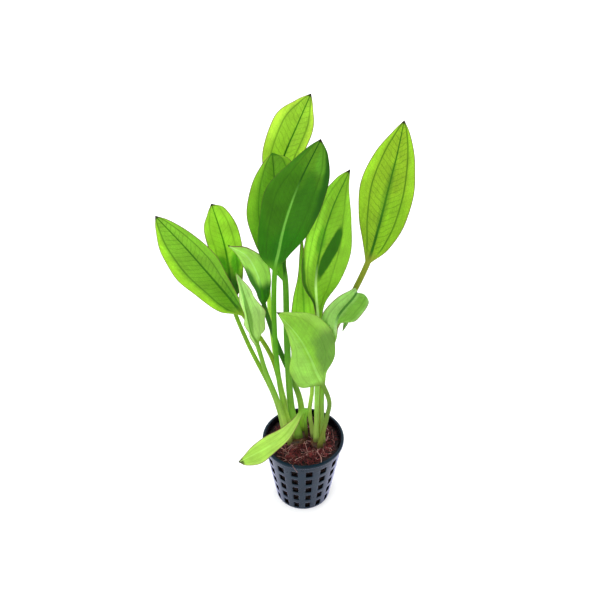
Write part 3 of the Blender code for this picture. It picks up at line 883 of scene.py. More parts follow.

# %% [markdown]
# ## Roots that stand out
# Some roots are thick and pale enough to be told apart. Each is a smooth curve through a few points on
# the soil, with a round section. One of them hangs over the rim in front, and loops lie at the right.

# %% Roots laid through listed points
ROOT_RADIUS = 0.21 * MM
RIM_ROOT_RADIUS = 0.11 * MM
ROOT_LIFT = 0.5 * MM
ROOT_ROUNDNESS = 1      # steps in a quarter of its section
ROOT_STEPS = 5          # steps between two of its points
SPLINE_ORDER = 4
ROOTS = (    # x and y on the soil, in millimetres
    ((-11, -4.5), (-7, -3.5), (-3.5, -5), (0, -7.5), (3, -9)),
    ((-16, -12.5), (-13, -13.5), (-10, -15), (-8, -18.5), (-7.3, -20)),
    ((13.5, 2), (17, 1.5), (19.5, -0.5), (19, -2.5), (15, -0.5), (12.5, -4), (12, -9), (14, -12),
     (17, -10.5)),
    ((7, -7), (7.5, -10.5), (8, -15.5)),
    ((6, -7), (5.5, -10), (6, -14), (9, -16)),
    ((4, -9.5), (0.5, -13), (-2.5, -16.5), (-5.5, -18.5)),
    ((18, 9.5), (18.5, 5.5), (18.5, 1)),
    ((10, -12), (13, -15), (15, -12), (12, -10), (9.5, -13), (11, -17)),
    ((13, -5), (17, -6), (18, -9), (15.5, -9.5), (16, -5.5), (19, -4)),
)
RIM_ROOT = ((-7.3, -20, 45.2), (-7, -22.4, 48.2), (-6.2, -24.4, 48.4), (-5, -25.2, 46.6), (-3.5, -25.3, 44.2))


def root_lines(paths, radius):
    """Round smooth lines through points, as one mesh."""
    curve = bpy.data.curves.new("root_lines", "CURVE")
    curve.dimensions = "3D"
    curve.bevel_depth = radius
    curve.bevel_resolution = ROOT_ROUNDNESS
    curve.resolution_u = ROOT_STEPS
    curve.use_fill_caps = True
    for path in paths:
        spline = curve.splines.new("NURBS")
        spline.points.add(len(path) - 1)
        for point, place in zip(spline.points, path):
            point.co = (*place, 1)
        spline.order_u = SPLINE_ORDER
        spline.use_endpoint_u = True
    line = new_object("root_lines", curve)
    mesh = bpy.data.meshes.new_from_object(line.evaluated_get(bpy.context.evaluated_depsgraph_get()))
    bpy.data.objects.remove(line)
    return mesh


laid = [[(x * MM, y * MM, soil_height(x * MM, y * MM) + ROOT_LIFT) for x, y in path] for path in ROOTS]
over_rim = [tuple(length * MM for length in place) for place in RIM_ROOT]
for name, paths, radius in (("laid_roots", laid, ROOT_RADIUS), ("rim_root", [over_rim], RIM_ROOT_RADIUS)):
    piece = new_object(name, root_lines(paths, radius))
    piece.data.shade_smooth()
    piece.data.materials.append(root_threads)
    place_piece(piece, "coco_fibre")

# %% [markdown]
# ## The leaves' plan
# Every leaf follows one rule: a spine from its foot in the crown to its tip, a half width on each side
# of the midrib at five places, a turn and a fold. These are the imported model's own values, refined by
# up to about two millimetres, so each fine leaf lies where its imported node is. Left and right are as
# seen from the leaf's upper side.

# %% Leaf table
YOUNG, GREEN, DEEP, PALE = "leaf_young", "leaf_green", "leaf_deep", "leaf_pale"


class Leaf(NamedTuple):
    """One leaf in millimetres and degrees."""

    name: str
    stalk: tuple    # foot, lower and upper points of the stalk
    blade: tuple    # collar, three points of the midrib, tip
    left: tuple     # half widths left of the midrib at OUTLINE_PLACES, from collar to tip
    right: tuple    # half widths right of it
    thick: tuple    # width of the stalk at its foot and at its collar
    turn: float     # how far the upper side is turned to its right from facing the front
    fold: tuple     # how far each half rises from the midrib, at the collar and at the tip
    slot: str       # finish in the record


LEAVES = (
    Leaf("leaf_far_left", ((-8.2, 5.2, 46), (-12.6, 9, 74), (-18.8, 11, 104)),
         ((-34, 10, 136), (-43, 10, 151), (-52, 9, 166), (-63, 9, 183), (-76.5, 10, 201)),
         (9.5, 13, 15, 12.5, 5.5), (5.5, 9, 12.3, 10, 5), (3.4, 2.6), -15, (25, 15), GREEN),
    Leaf("leaf_left_back", ((-10.4, 1.2, 46), (-17.5, 4, 79), (-32.5, 14, 112)),
         ((-41, 23, 134), (-42, 28, 152), (-44, 31, 168), (-47, 34, 180), (-50, 36, 191)),
         (5.5, 8.5, 9, 9, 4), (6, 8.5, 10, 10, 7), (3.4, 2.4), 0, (15, 8), GREEN),
    Leaf("leaf_left_folded", ((-8, -1.8, 46), (-14.6, -1.8, 78), (-22, -1, 104)),
         ((-26, -1, 123), (-29, -2, 132), (-31, -4, 148), (-33, -6, 166), (-35, -7, 177)),
         (2.6, 6.2, 7.8, 6, 3), (7.2, 10.8, 8.3, 5, 2), (3.4, 2.8), 37, (37, 37), PALE),
    Leaf("leaf_left_arching", ((-0.6, 8.5, 46), (-2, 9.5, 70), (-14.7, 10, 112.7)),
         ((-22, 5, 148), (-23, 3, 161), (-25, 1, 172), (-30, -3, 186), (-38, -8, 195)),
         (4, 7, 7.5, 6, 2.5), (6, 8, 7.5, 4, 1.5), (4.6, 2.6), 0, (-35, -35), PALE),
    Leaf("leaf_top", ((-4.4, 6.2, 46), (-12, 12, 70), (-19, 16, 130)),
         ((-19, 24, 184), (-16, 28, 200), (-11, 34, 221), (-4, 39, 237), (3, 44, 252)),
         (3, 7, 12, 13, 6), (4, 8, 9, 9, 4), (3.2, 2.4), 0, (15, 8), YOUNG),
    Leaf("leaf_front_tall", ((-6.2, 1.6, 46), (-13, 1, 83), (-16, -1, 130)),
         ((-15.2, 0, 174), (-13, 1, 186), (-10, 3, 200), (-3, 7, 221), (8, 12, 244)),
         (11, 13.2, 15, 9.5, 4), (6, 13, 15, 13.6, 7.2), (3.4, 2.8), 0, (12, 6), DEEP),
    Leaf("leaf_centre_back", ((-3, 1.8, 46), (-7, 4, 67), (-9.4, 7, 116)),
         ((-10, 10, 160), (-12, 13, 181), (-14, 17, 200), (-15, 20, 214), (-16, 24, 230)),
         (8.5, 14, 16.3, 13, 6), (1.5, 8, 13, 13, 10), (5.0, 3.3), 0, (12, 6), GREEN),
    Leaf("leaf_right_centre", ((8, -1.5, 46), (8, 0, 76), (8, 1, 108)),
         ((8.4, 2, 132), (6.6, 4, 166), (9.3, 6.5, 186), (14.5, 9.5, 206), (23, 14, 226)),
         (1.5, 8, 9.5, 9.5, 5.5), (3.6, 13.2, 16.2, 11.3, 3.2), (3.2, 2.8), 0, (20, 12), GREEN),
    Leaf("leaf_far_right", ((11, 1.5, 46), (10.2, 4, 79), (14, 8, 113.5)),
         ((34.4, 9, 173), (39.4, 11, 195.5), (44.5, 15, 222.5), (46.5, 17, 232), (49.5, 22, 249)),
         (6.5, 12.2, 14.8, 11.8, 4.6), (8.5, 13, 13.5, 10, 4.5), (3.2, 3.2), 0, (12, 6), GREEN),
    Leaf("leaf_right_curled", ((12, -2, 46), (11, -3.4, 86), (12, -6, 112)),
         ((17, -8, 134), (18.5, -11, 152), (25.4, -10, 162.5), (28.4, -2.5, 161), (22, 2, 131)),
         (8.6, 7.4, 2.8, 3, 1.5), (1.2, 9.5, 7.4, 3, 1.2), (2.8, 2.2), -14, (16, 10), PALE),
    Leaf("leaf_front_low", ((10, -5.6, 46), (14, -8, 74), (15, -9, 86)),
         ((11, -10, 101), (7, -11, 112), (3, -12, 125), (-4, -14, 142), (-13.8, -15, 157)),
         (13, 13.6, 7.8, 4, 1), (5.8, 14, 17.5, 16, 6), (3.0, 2.6), 0, (10, 5), YOUNG),
    Leaf("leaf_over_rim", ((2, 2.8, 46), (1.3, 0, 64), (2, -3, 74)),
         ((-1, -6, 75), (-6, -12, 71), (-12, -17, 66), (-24, -24, 62), (-37, -32, 61)),
         (2.4, 3.8, 5, 6.5, 4), (2.4, 4.8, 6.4, 5.2, 2), (2.8, 2.4), 0, (10, 5), YOUNG),
    Leaf("leaf_right_back", ((6.3, 2.2, 46), (3.8, 4, 65), (5.2, 6, 82)),
         ((4, 7, 101), (1, 9, 126), (0, 11, 146), (-1, 14, 165), (-1, 18, 184)),
         (6, 8, 6, 2, 1), (6, 7, 5, 2, 1), (2.8, 2.4), 0, (10, 5), YOUNG),
)
print("leaves:", len(LEAVES))

# %% [markdown]
# ## How each leaf looks
# Leaves of one plant differ: a young leaf is thin and bright, an old one thick and deep green. Each leaf
# has its own tissue colours here, and the waves of its margin. The colours are partly the tissue's own and
# partly painted light and shade: leaves that face the light get paler colours as painted light, the low
# blade of some leaves is darker with painted shade, darker patches are painted shade and paler ones painted
# light.

# %% Looks of the leaves
class Look(NamedTuple):
    """Colours and waves of one leaf."""

    low: str            # tissue near the collar, darker with painted shade on some leaves
    high: str           # tissue near the tip
    change: tuple       # shares of the blade between which low turns into high
    margin: str         # outside the side veins
    rib_low: str        # midrib near the collar
    rib_high: str       # midrib near the tip
    rib_change: float   # share of the blade where the midrib changes
    stalk: str          # at its middle and top
    foot: str           # at its bottom
    veins: float        # how clearly the veins show
    wave: tuple         # height, length and start of the margin's waves, in millimetres and turns
    patches: tuple = ()  # places of painted shade and painted light, each with the values of a Patch
    point: float = 0.5  # length of the thin point at the tip, in millimetres
    tip: str = "#2a2212"    # that point, dry and black on most leaves
    edge: float = 0.85  # how clearly the brown line along the margin shows
    arch: float = 0.045  # how far each half of the blade arches, as a share of its width


class Patch(NamedTuple):
    """A place on the blade whose colour is painted shade where darker and painted light where paler."""

    across: float       # place of its middle, from -1 at the left margin to 1 at the right
    along: float        # and from 0 at the collar to 1 at the tip
    half_across: float
    half_along: float
    colour: str
    soft: float = 0.65  # width of its soft edge, as a share of its size
    slant: float = 0.0  # how far it leans across for each length along


# Dark low colours and darker patches are painted shade; paler patches are painted light.
LOOKS = {
    "leaf_far_left": Look("#84bc30", "#98ce3e", (0.1, 0.9), "#b8ea3c", "#468414", "#4a8818", 0.5,
                          "#98ba36", "#b8d470", 0.6, (0.25, 27, 0.1),
                          ((0.5, 0.15, 0.5, 0.14, "#72b42a"), (0.95, 0.5, 0.34, 0.6, "#90c83c"),
                           (-0.95, 0.35, 0.28, 0.5, "#b4e43c"))),
    "leaf_left_back": Look("#387212", "#b5e34a", (0.18, 0.5), "#bae74f", "#2c6410", "#5c9c20", 0.3,
                           "#8cb83c", "#b8d470", 0.3, (1.0, 20, 0.4),
                           ((-0.5, 0.4, 0.5, 0.1, "#6cb42c"), (0.5, 0.4, 0.3, 0.12, "#75c12e")), point=1.6),
    "leaf_left_folded": Look("#bee284", "#c6ee92", (0.2, 0.8), "#d8f8a2", "#7cab48", "#a4d87a", 0.6,
                             "#91c149", "#cadf77", 0.15, (1.2, 17, 0.7),
                             ((-0.6, 0.5, 0.45, 0.6, "#e2ffb4"), (0.15, 0.5, 0.1, 0.4, "#8fbd58")),
                             tip="#8cb850"),
    "leaf_left_arching": Look("#3f8c16", "#b6e66b", (0.17, 0.32), "#bbea6f", "#4c9f18", "#c4f090", 0.3,
                              "#4c8624", "#b8dc66", 0.1, (0.8, 24, 0.2),
                              ((-0.9, 0.2, 0.7, 0.34, "#3c8a16"), (0.85, 0.8, 0.3, 0.3, "#b4e070"))),
    "leaf_top": Look("#b4de46", "#aed843", (0.3, 0.8), "#d0f058", "#2f700e", "#4f9018", 0.6,
                     "#c4e86c", "#d4e890", 0.5, (0.3, 30, 0.0), point=1.6),
    "leaf_front_tall": Look("#3c8a0e", "#70a827", (0.25, 0.95), "#4a901f", "#88cf52", "#2f6c12", 0.62,
                            "#70b62a", "#c0dc66", 0.45, (0.5, 33, 0.5),
                            ((0.3, 0.2, 0.7, 0.2, "#358711"), (-0.4, 0.55, 0.6, 0.3, "#4c8c16"),
                             (0.4, 0.55, 0.4, 0.25, "#44881a"), (0.55, 0.88, 0.28, 0.11, "#70b030"),
                             (0.95, 0.7, 0.2, 0.3, "#2c6c16", 0.9)), edge=0.25),
    "leaf_centre_back": Look("#76c02d", "#80bc30", (0.2, 0.8), "#a0d638", "#3c7818", "#4d861e", 0.5,
                             "#78b43c", "#9ccc50", 0.4, (0.5, 30, 0.8), tip="#4c8c1c"),
    "leaf_right_centre": Look("#98cc3a", "#96ca34", (0.5, 0.95), "#a6dc42", "#dcfaa8", "#54901e", 0.36,
                              "#acdc6a", "#b9d66f", 0.35, (0.8, 36, 0.3),
                              ((-0.6, 0.62, 0.3, 0.24, "#b4ea4c"), (-0.85, 0.12, 0.5, 0.14, "#2f6c10"),
                               (-0.06, 0.12, 0.16, 0.22, "#bce878"), (-0.1, 0.58, 0.2, 0.09, "#6fb526"),
                               (-1.0, 0.28, 0.3, 0.25, "#3a7a12", 0.4),
                               (0.33, 0.52, 0.2, 0.19, "#1e6e08", 0.3, 1.3)), edge=0.5),
    "leaf_far_right": Look("#9cc430", "#a8ce34", (0.2, 0.8), "#b2e03c", "#3c7818", "#4f8a1a", 0.4,
                           "#a0ac40", "#a8b458", 0.7, (0.4, 34, 0.6),
                           ((0.5, 0.3, 0.5, 0.25, "#9ccc30"), (0.0, 0.45, 0.16, 0.32, "#84b42c"))),
    "leaf_right_curled": Look("#a7d771", "#acdc7b", (0.2, 0.8), "#b5e485", "#c4ec9c", "#5c983c", 0.2,
                              "#8fc245", "#a0bc60", 0.2, (0.6, 18, 0.1),
                              ((0.5, 0.4, 0.4, 0.3, "#85be42"),), tip="#8cb850", arch=0.2),
    "leaf_front_low": Look("#a4d45c", "#a8d852", (0.15, 0.5), "#b2e062", "#b8e876", "#b2e46c", 0.4,
                           "#7ca040", "#949c48", 0.15, (0.8, 30, 0.5),
                           ((0.2, 0.6, 0.5, 0.35, "#a0d84a"), (0.7, 0.4, 0.5, 0.26, "#7eb04a"),
                            (-0.5, 0.4, 0.4, 0.5, "#b2e26a")), edge=0.25),
    "leaf_over_rim": Look("#c4e772", "#bbe168", (0.2, 0.8), "#c9eb76", "#b0d860", "#c8f07c", 0.5,
                          "#98cc4c", "#5c5828", 0.1, (0.6, 22, 0.2),
                          ((0, 0.97, 1.2, 0.03, "#5c6c38"),)),
    "leaf_right_back": Look("#b0e050", "#a4d648", (0.2, 0.8), "#b4e654", "#88c03c", "#88c03c", 0.5,
                            "#b4d65e", "#b8cc74", 0.2, (0.5, 26, 0.0)),
}
print("shaded places on all leaves:", sum(len(look.patches) for look in LOOKS.values()))

# %% [markdown]
# ## Leaf tissue
# A leaf is a thin wet skin over green tissue: part of the light is thrown back and part comes through,
# so a Translucent shader is mixed with the Principled one. The veins are drawn in the leaf's own
# coordinates, which the mesh carries as attributes: across from margin to margin, along from collar to
# tip, and the real distances in millimetres. Main veins run from the collar to the tip, cross veins slant
# up and outward about every 3 mm, and a fine net fills the space between them.

# %% Where on a leaf a point lies
MOTTLING = (9 * MM, 4)      # size of the noise and its detail
WOBBLE = (5 * MM, 2)


class Spot(NamedTuple):
    """Sockets that say where on a leaf a point lies, with two noises there."""

    side: object            # from -1 at the left margin to 1 at the right
    across: object          # the same without its sign
    along: object           # from 0 at the collar to 1 at the tip
    half_width: object      # millimetres from the midrib to the margin
    reach: object           # millimetres from the midrib
    run: object             # millimetres from the foot
    up_stalk: object        # from 0 at the foot to 1 at the collar
    flat: object            # millimetres across and along, on the flattened leaf
    mottling: object
    wobble: object


def leaf_spot(tree):
    """Read the leaf's two attributes."""
    attributes = [add(tree, "ShaderNodeAttribute", attribute_name=label) for label in ("place", "rule")]
    (side, along, half_width), (offset, run, up_stalk) = (
        add(tree, SPLIT, {0: attribute.outputs["Vector"]}).outputs for attribute in attributes)
    across, reach = (add(tree, MATH, {0: signed}, operation="ABSOLUTE").outputs[0]
                     for signed in (side, offset))
    flat = add(tree, JOIN, {0: offset, 1: run}).outputs[0]
    body = add(tree, "ShaderNodeTexCoord").outputs["Object"]
    mottling, wobble = (
        add(tree, NOISE, {"Vector": body, "Scale": 1 / size, "Detail": detail}).outputs["Fac"]
        for size, detail in (MOTTLING, WOBBLE))
    return Spot(side, across, along, half_width, reach, run, up_stalk, flat, mottling, wobble)


# %% Layers and lines
def layered(tree, base, *layers):
    """Lay colours over a base, each through its own mask."""
    for mask, colour in layers:
        base = add(tree, MIX, {0: mask, MIX_A: base, MIX_B: colour}, data_type="RGBA").outputs[MIX_OUT]
    return base


def long_line(tree, spot, share, core, end):
    """Mask of a line along the blade at a share of its half width, full within core and gone at end."""
    gap = add(tree, MATH, {0: spot.across, 1: share}, operation="SUBTRACT").outputs[0]
    size = add(tree, MATH, {0: gap}, operation="ABSOLUTE").outputs[0]
    distance = add(tree, MATH, {0: size, 1: spot.half_width}, operation="MULTIPLY").outputs[0]
    return add(tree, RANGE, {0: distance, 1: core, 2: end, 3: 1.0, 4: 0.0},
               interpolation_type="SMOOTHSTEP").outputs[0]


# %% Blade and its painted shade and light
OUTER_VEIN = 0.6                    # place of the side veins, as a share of the half width
MARGIN_START = OUTER_VEIN - 0.05
MARGIN_FULL = OUTER_VEIN + 0.25
PATCH_STRENGTH = 0.9
PATCH_EDGE = 0.92                   # middle of a patch's soft edge, as a share of its size
FRAYING = 0.77                      # how far that edge frays, as a share of its softness


def patch_mask(tree, spot, patch):
    """Mask of a place of painted shade and light: an ellipse that may lean, with a soft and frayed edge."""
    upright = add(tree, MATH, {0: spot.along, 1: -patch.slant, 2: spot.side},
                  operation="MULTIPLY_ADD").outputs[0]
    here = add(tree, JOIN, {0: upright, 1: spot.along}).outputs[0]
    middle = (patch.across - patch.slant * patch.along, patch.along, 0)
    moved = add(tree, VECTOR, {0: here, 1: middle}, operation="SUBTRACT").outputs[0]
    size = (1 / patch.half_across, 1 / patch.half_along, 0)
    shrunk = add(tree, VECTOR, {0: moved, 1: size}, operation="MULTIPLY").outputs[0]
    distance = add(tree, VECTOR, {0: shrunk}, operation="LENGTH").outputs["Value"]
    fraying = patch.soft * FRAYING
    frayed = add(tree, MATH, {0: spot.wobble, 1: fraying, 2: distance}, operation="MULTIPLY_ADD").outputs[0]
    rim = PATCH_EDGE + fraying / 2
    return add(tree, RANGE, {0: frayed, 1: rim - patch.soft / 2, 2: rim + patch.soft / 2,
                             3: PATCH_STRENGTH, 4: 0.0}, interpolation_type="SMOOTHSTEP").outputs[0]


def blade_colour(tree, spot, look):
    """Tissue between the veins, with its painted shade and painted light."""
    outer, up = (
        add(tree, RANGE, {0: place, 1: start, 2: end}, interpolation_type="SMOOTHSTEP").outputs[0]
        for place, (start, end) in ((spot.across, (MARGIN_START, MARGIN_FULL)), (spot.along, look.change)))
    margin = add(tree, MATH, {0: outer, 1: up}, operation="MULTIPLY").outputs[0]
    patches = [(patch_mask(tree, spot, patch), linear(patch.colour))
               for patch in (Patch(*values) for values in look.patches)]
    return layered(tree, linear(look.low), (up, linear(look.high)), (margin, linear(look.margin)), *patches)


# %% Veins of the blade
VEIN_GREEN = "#3a7412"
SIDE_VEIN = (0.15, 0.6)     # millimetres from its middle to where it is full, and to where it ends
CROSS_VEIN = (0.05, 0.32)
CROSS_SPACING = 3.2         # millimetres between cross veins
CROSS_SLANT = 0.9
CROSS_BEND = 3.0            # millimetres by which noise bends them
CROSS_FADE = (0.45, 0.8)    # places across the blade between which they fade
CROSS_STRENGTH = (0.75, 0.25)
NET_SIZE = 1.1              # millimetres across a mesh of the fine net
NET_LINE = 0.12             # width of its lines, as a share of a mesh
NET_STRENGTH = 0.3
VEINS_BEGIN = (0.02, 0.12)  # shares of the blade between which all of them begin


def blade_veins(tree, spot):
    """Mask of all veins but the midrib."""
    veins = long_line(tree, spot, OUTER_VEIN, *SIDE_VEIN)
    slanted = add(tree, MATH, {0: spot.reach, 1: -CROSS_SLANT, 2: spot.run},
                  operation="MULTIPLY_ADD").outputs[0]
    bent = add(tree, MATH, {0: spot.wobble, 1: CROSS_BEND, 2: slanted}, operation="MULTIPLY_ADD").outputs[0]
    distance = add(tree, MATH, {0: bent, 1: CROSS_SPACING / 2}, operation="PINGPONG").outputs[0]
    cross = add(tree, RANGE, {0: distance, 1: CROSS_VEIN[0], 2: CROSS_VEIN[1], 3: 1.0, 4: 0.0},
                interpolation_type="SMOOTHSTEP").outputs[0]
    strength = add(tree, RANGE, {0: spot.across, 1: CROSS_FADE[0], 2: CROSS_FADE[1],
                                 3: CROSS_STRENGTH[0], 4: CROSS_STRENGTH[1]}).outputs[0]
    cross_vein = add(tree, MATH, {0: cross, 1: strength}, operation="MULTIPLY").outputs[0]
    net = add(tree, "ShaderNodeTexVoronoi", {"Vector": spot.flat, "Scale": 1 / NET_SIZE},
              feature="DISTANCE_TO_EDGE").outputs["Distance"]
    net_vein = add(tree, RANGE, {0: net, 1: 0.0, 2: NET_LINE, 3: NET_STRENGTH, 4: 0.0}).outputs[0]
    for others in (cross_vein, net_vein):
        veins = add(tree, MATH, {0: veins, 1: others}, operation="MAXIMUM").outputs[0]
    begun = add(tree, RANGE, {0: spot.along, 1: VEINS_BEGIN[0], 2: VEINS_BEGIN[1]}).outputs[0]
    return add(tree, MATH, {0: veins, 1: begun}, operation="MULTIPLY").outputs[0]


# %% Midrib and stalk
RIB_HALF_WIDTH = (1.05, 0.3)    # millimetres, at the collar and at the tip
RIB_EDGE = (0.45, 1.1)          # shares of it where the midrib's colour is full, and where it ends
RIB_BLEND = 0.08                # half of the blade's share in which that colour changes
STALK_CHANGE = 0.6              # share of the stalk on which the foot's colour fades
HUSK_STAIN = "#5c4030"
STAIN_STRENGTH = 0.8
SOILED_FOOT = (-1.0, 4.5)       # millimetres up the stalk between which the stain fades


def midrib(tree, spot, look):
    """Mask and colour of the midrib."""
    half_width = add(tree, RANGE, {0: spot.along, 1: 0.0, 2: 1.0, 3: RIB_HALF_WIDTH[0],
                                   4: RIB_HALF_WIDTH[1]}).outputs[0]
    distance = add(tree, MATH, {0: spot.reach, 1: half_width}, operation="DIVIDE").outputs[0]
    mask = add(tree, RANGE, {0: distance, 1: RIB_EDGE[0], 2: RIB_EDGE[1], 3: 1.0, 4: 0.0},
               interpolation_type="SMOOTHSTEP").outputs[0]
    up = add(tree, RANGE, {0: spot.along, 1: look.rib_change - RIB_BLEND,
                           2: look.rib_change + RIB_BLEND}).outputs[0]
    return mask, layered(tree, linear(look.rib_low), (up, linear(look.rib_high)))


def stalk_colour(tree, spot, look):
    """Colour of the stalk, stained by husk at its foot."""
    up = add(tree, RANGE, {0: spot.up_stalk, 1: 0.0, 2: STALK_CHANGE},
             interpolation_type="SMOOTHSTEP").outputs[0]
    soiled = add(tree, RANGE, {0: spot.run, 1: SOILED_FOOT[0], 2: SOILED_FOOT[1], 3: STAIN_STRENGTH, 4: 0.0},
                 interpolation_type="SMOOTHSTEP").outputs[0]
    # Colour of the stalk, soiled by husk at its foot.
    return layered(tree, linear(look.foot), (up, linear(look.stalk)), (soiled, linear(HUSK_STAIN)))


# %% Skin of the leaf
VEIN_RELIEF = 0.12 * MM
LEAF_GLOSS = 0.12
LEAF_ROUGHNESS = (0.34, 0.5)
LIGHT_THROUGH = 0.55        # share of the light that comes through the leaf


def leaf_skin(tree, shader, spot, colour, veins, stripes):
    """A wet skin with the veins pressed in, and light that comes through."""
    roughness = add(tree, RANGE, {0: spot.wobble, 1: NOISE_LOW, 2: NOISE_HIGH,
                                  3: LEAF_ROUGHNESS[0], 4: LEAF_ROUGHNESS[1]}).outputs[0]
    relief = add(tree, MATH, {0: veins, 1: -1.0, 2: stripes}, operation="MULTIPLY_ADD").outputs[0]
    bump = add(tree, "ShaderNodeBump", {
        "Height": relief, "Distance": VEIN_RELIEF, "Strength": 0.6}).outputs[0]
    through = add(tree, "ShaderNodeBsdfTranslucent", {"Color": colour, "Normal": bump}).outputs[0]
    shader.inputs["Specular IOR Level"].default_value = LEAF_GLOSS
    for socket, value in (("Base Color", colour), ("Roughness", roughness), ("Normal", bump)):
        tree.links.new(value, shader.inputs[socket])
    both = add(tree, "ShaderNodeMixShader", {0: LIGHT_THROUGH, 1: shader.outputs[0], 2: through}).outputs[0]
    tree.links.new(both, tree.nodes["Material Output"].inputs["Surface"])


# %% Material of a leaf
COLLAR_BLEND = 0.1              # share of the blade in which the stalk's colour turns into the blade's
BROWN_EDGE = "#7c5448"
EDGE_LINE = (0.15, 0.55)        # millimetres from the margin where its line is full, and where it ends
DRY_TIP = (0.972, 0.99)         # shares of the blade between which the dry tip begins
STRIPES = (2.2, 0.06, 1)        # fine stripes for each millimetre across and along
MOTTLED_LIGHT = (0.86, 1.08)    # darkest and lightest
STRIPED_LIGHT = (0.88, 1.06)


def leaf_tissue(name, look):
    """Green tissue of a leaf: blade, veins, midrib and stalk, its brown margin and its dry tip."""
    material, tree, shader = new_material(name)
    spot = leaf_spot(tree)
    veins = blade_veins(tree, spot)
    shown = add(tree, MATH, {0: veins, 1: look.veins}, operation="MULTIPLY").outputs[0]
    blade = layered(tree, blade_colour(tree, spot, look), (shown, linear(VEIN_GREEN)),
                    midrib(tree, spot, look))
    collar, dry = (
        add(tree, RANGE, {0: spot.along, 1: start, 2: end}, interpolation_type="SMOOTHSTEP").outputs[0]
        for start, end in ((0.0, COLLAR_BLEND), DRY_TIP))
    whole = layered(tree, stalk_colour(tree, spot, look), (collar, blade))

    stripes_place = add(tree, VECTOR, {0: spot.flat, 1: STRIPES}, operation="MULTIPLY").outputs[0]
    stripes = add(tree, NOISE, {"Vector": stripes_place, "Scale": 1.0, "Detail": 3}).outputs["Fac"]
    mottled, striped = (
        add(tree, RANGE, {0: part, 1: NOISE_LOW, 2: NOISE_HIGH, 3: darkest, 4: lightest}).outputs[0]
        for part, (darkest, lightest) in ((spot.mottling, MOTTLED_LIGHT), (stripes, STRIPED_LIGHT)))
    light = add(tree, MATH, {0: mottled, 1: striped}, operation="MULTIPLY").outputs[0]
    varied = add(tree, VECTOR, {0: whole, "Scale": light}, operation="SCALE").outputs[0]

    brown = long_line(tree, spot, 1.0, *EDGE_LINE)
    for weaker in (collar, look.edge):
        brown = add(tree, MATH, {0: brown, 1: weaker}, operation="MULTIPLY").outputs[0]
    colour = layered(tree, varied, (brown, linear(BROWN_EDGE)), (dry, linear(look.tip)))
    leaf_skin(tree, shader, spot, colour, veins, stripes)
    return material


# %% [markdown]
# ## Leaf shape
# A leaf is lofted through cross-sections along its spine. In the stalk a section is nearly round. In the
# blade it is a thin sheet with a raised midrib below, a shallow channel above, side veins pressed in,
# and halves that rise from the midrib and arch over. The normals are carried along the spine without
# twist. Rings crowd where the spine bends and towards the tip.

# %% Smooth curves and half widths
CURVE_STEPS = 24
OUTLINE_PLACES = (0.15, 0.35, 0.55, 0.75, 0.92)
TIP_HALF_SIZE = 0.15


def between(knot, first, last, start, end):
    """The point that lies between start and end as the knot does between first and last."""
    return (last - knot) / (last - first) * start + (knot - first) / (last - first) * end


def smooth_curve(points):
    """A centripetal Catmull-Rom curve through the points, CURVE_STEPS to a span."""
    points = np.asarray(points, float)
    padded = np.vstack([2 * points[0] - points[1], points, 2 * points[-1] - points[-2]])
    chords = np.linalg.norm(np.diff(padded, axis=0), axis=1)
    knots = np.concatenate([[0], np.cumsum(chords ** 0.5)])
    curve = []
    for first in range(len(points) - 1):
        near, at = padded[first:first + 4], knots[first:first + 4]
        for knot in np.linspace(at[1], at[2], CURVE_STEPS, endpoint=False):
            lines = [between(knot, at[i], at[i + 1], near[i], near[i + 1]) for i in range(3)]
            bows = [between(knot, at[i], at[i + 2], lines[i], lines[i + 1]) for i in range(2)]
            curve.append(between(knot, at[1], at[2], *bows))
    curve.append(points[-1])
    return np.array(curve)


def unit(vectors):
    """The same directions with length 1."""
    return vectors / np.linalg.norm(vectors, axis=-1, keepdims=True)


def half_widths(collar_width, outline, along):
    """Half width of one side of the blade, from the stalk's at the collar to a point."""
    places = (0, *OUTLINE_PLACES, 1)
    values = (collar_width / 2, *outline, TIP_HALF_SIZE)
    scale = max(values)
    curve = smooth_curve([(place, value / scale) for place, value in zip(places, values)])
    return np.interp(along, curve[:, 0], curve[:, 1]) * scale


sample = LEAVES[0]
sample_widths = half_widths(sample.thick[1], sample.left, np.array(OUTLINE_PLACES))
print("half widths left of", sample.name, "in millimetres:", sample_widths.round(1))

# %% Rings and their directions
STALK_STEPS = 34
BLADE_STEPS = 92
BEND_LENGTH = 12            # millimetres of spine that count as much as one radian of bend
TIP_CROWDING = 0.35
FRONT = (0.0, -0.8, 0.6)


def leaf_stations(leaf, point):
    """Places and tangents of a leaf's rings, their run in millimetres, and shares of stalk and blade."""
    *rest, tip = leaf.blade
    end = np.array(tip) + point * unit(np.array(tip) - np.array(rest[-1]))
    spine = smooth_curve([*leaf.stalk, *rest, end])
    run = np.concatenate([[0], np.cumsum(np.linalg.norm(np.diff(spine, axis=0), axis=1))])
    collar = run[len(leaf.stalk) * CURVE_STEPS]
    headings = unit(np.diff(spine, axis=0))
    bends = np.arccos(np.clip(np.sum(headings[1:] * headings[:-1], axis=1), -1, 1))
    effort = run + BEND_LENGTH * np.concatenate([[0, 0], np.cumsum(bends)])
    at_collar = np.interp(collar, run, effort)
    even = np.linspace(0, 1, BLADE_STEPS + 1)
    blade_steps = (1 - TIP_CROWDING) * even + TIP_CROWDING * np.sin(even * math.pi / 2)
    stations = np.concatenate([np.linspace(0, collar, STALK_STEPS, endpoint=False),
                               np.interp(at_collar + (effort[-1] - at_collar) * blade_steps, effort, run)])
    places, slopes = (
        np.column_stack([np.interp(stations, run, values[:, axis]) for axis in range(3)])
        for values in (spine, np.gradient(spine, run, axis=0)))
    along = np.clip((stations - collar) / (run[-1] - collar), 0, 1)
    return places, unit(slopes), stations, np.clip(stations / collar, 0, 1), along


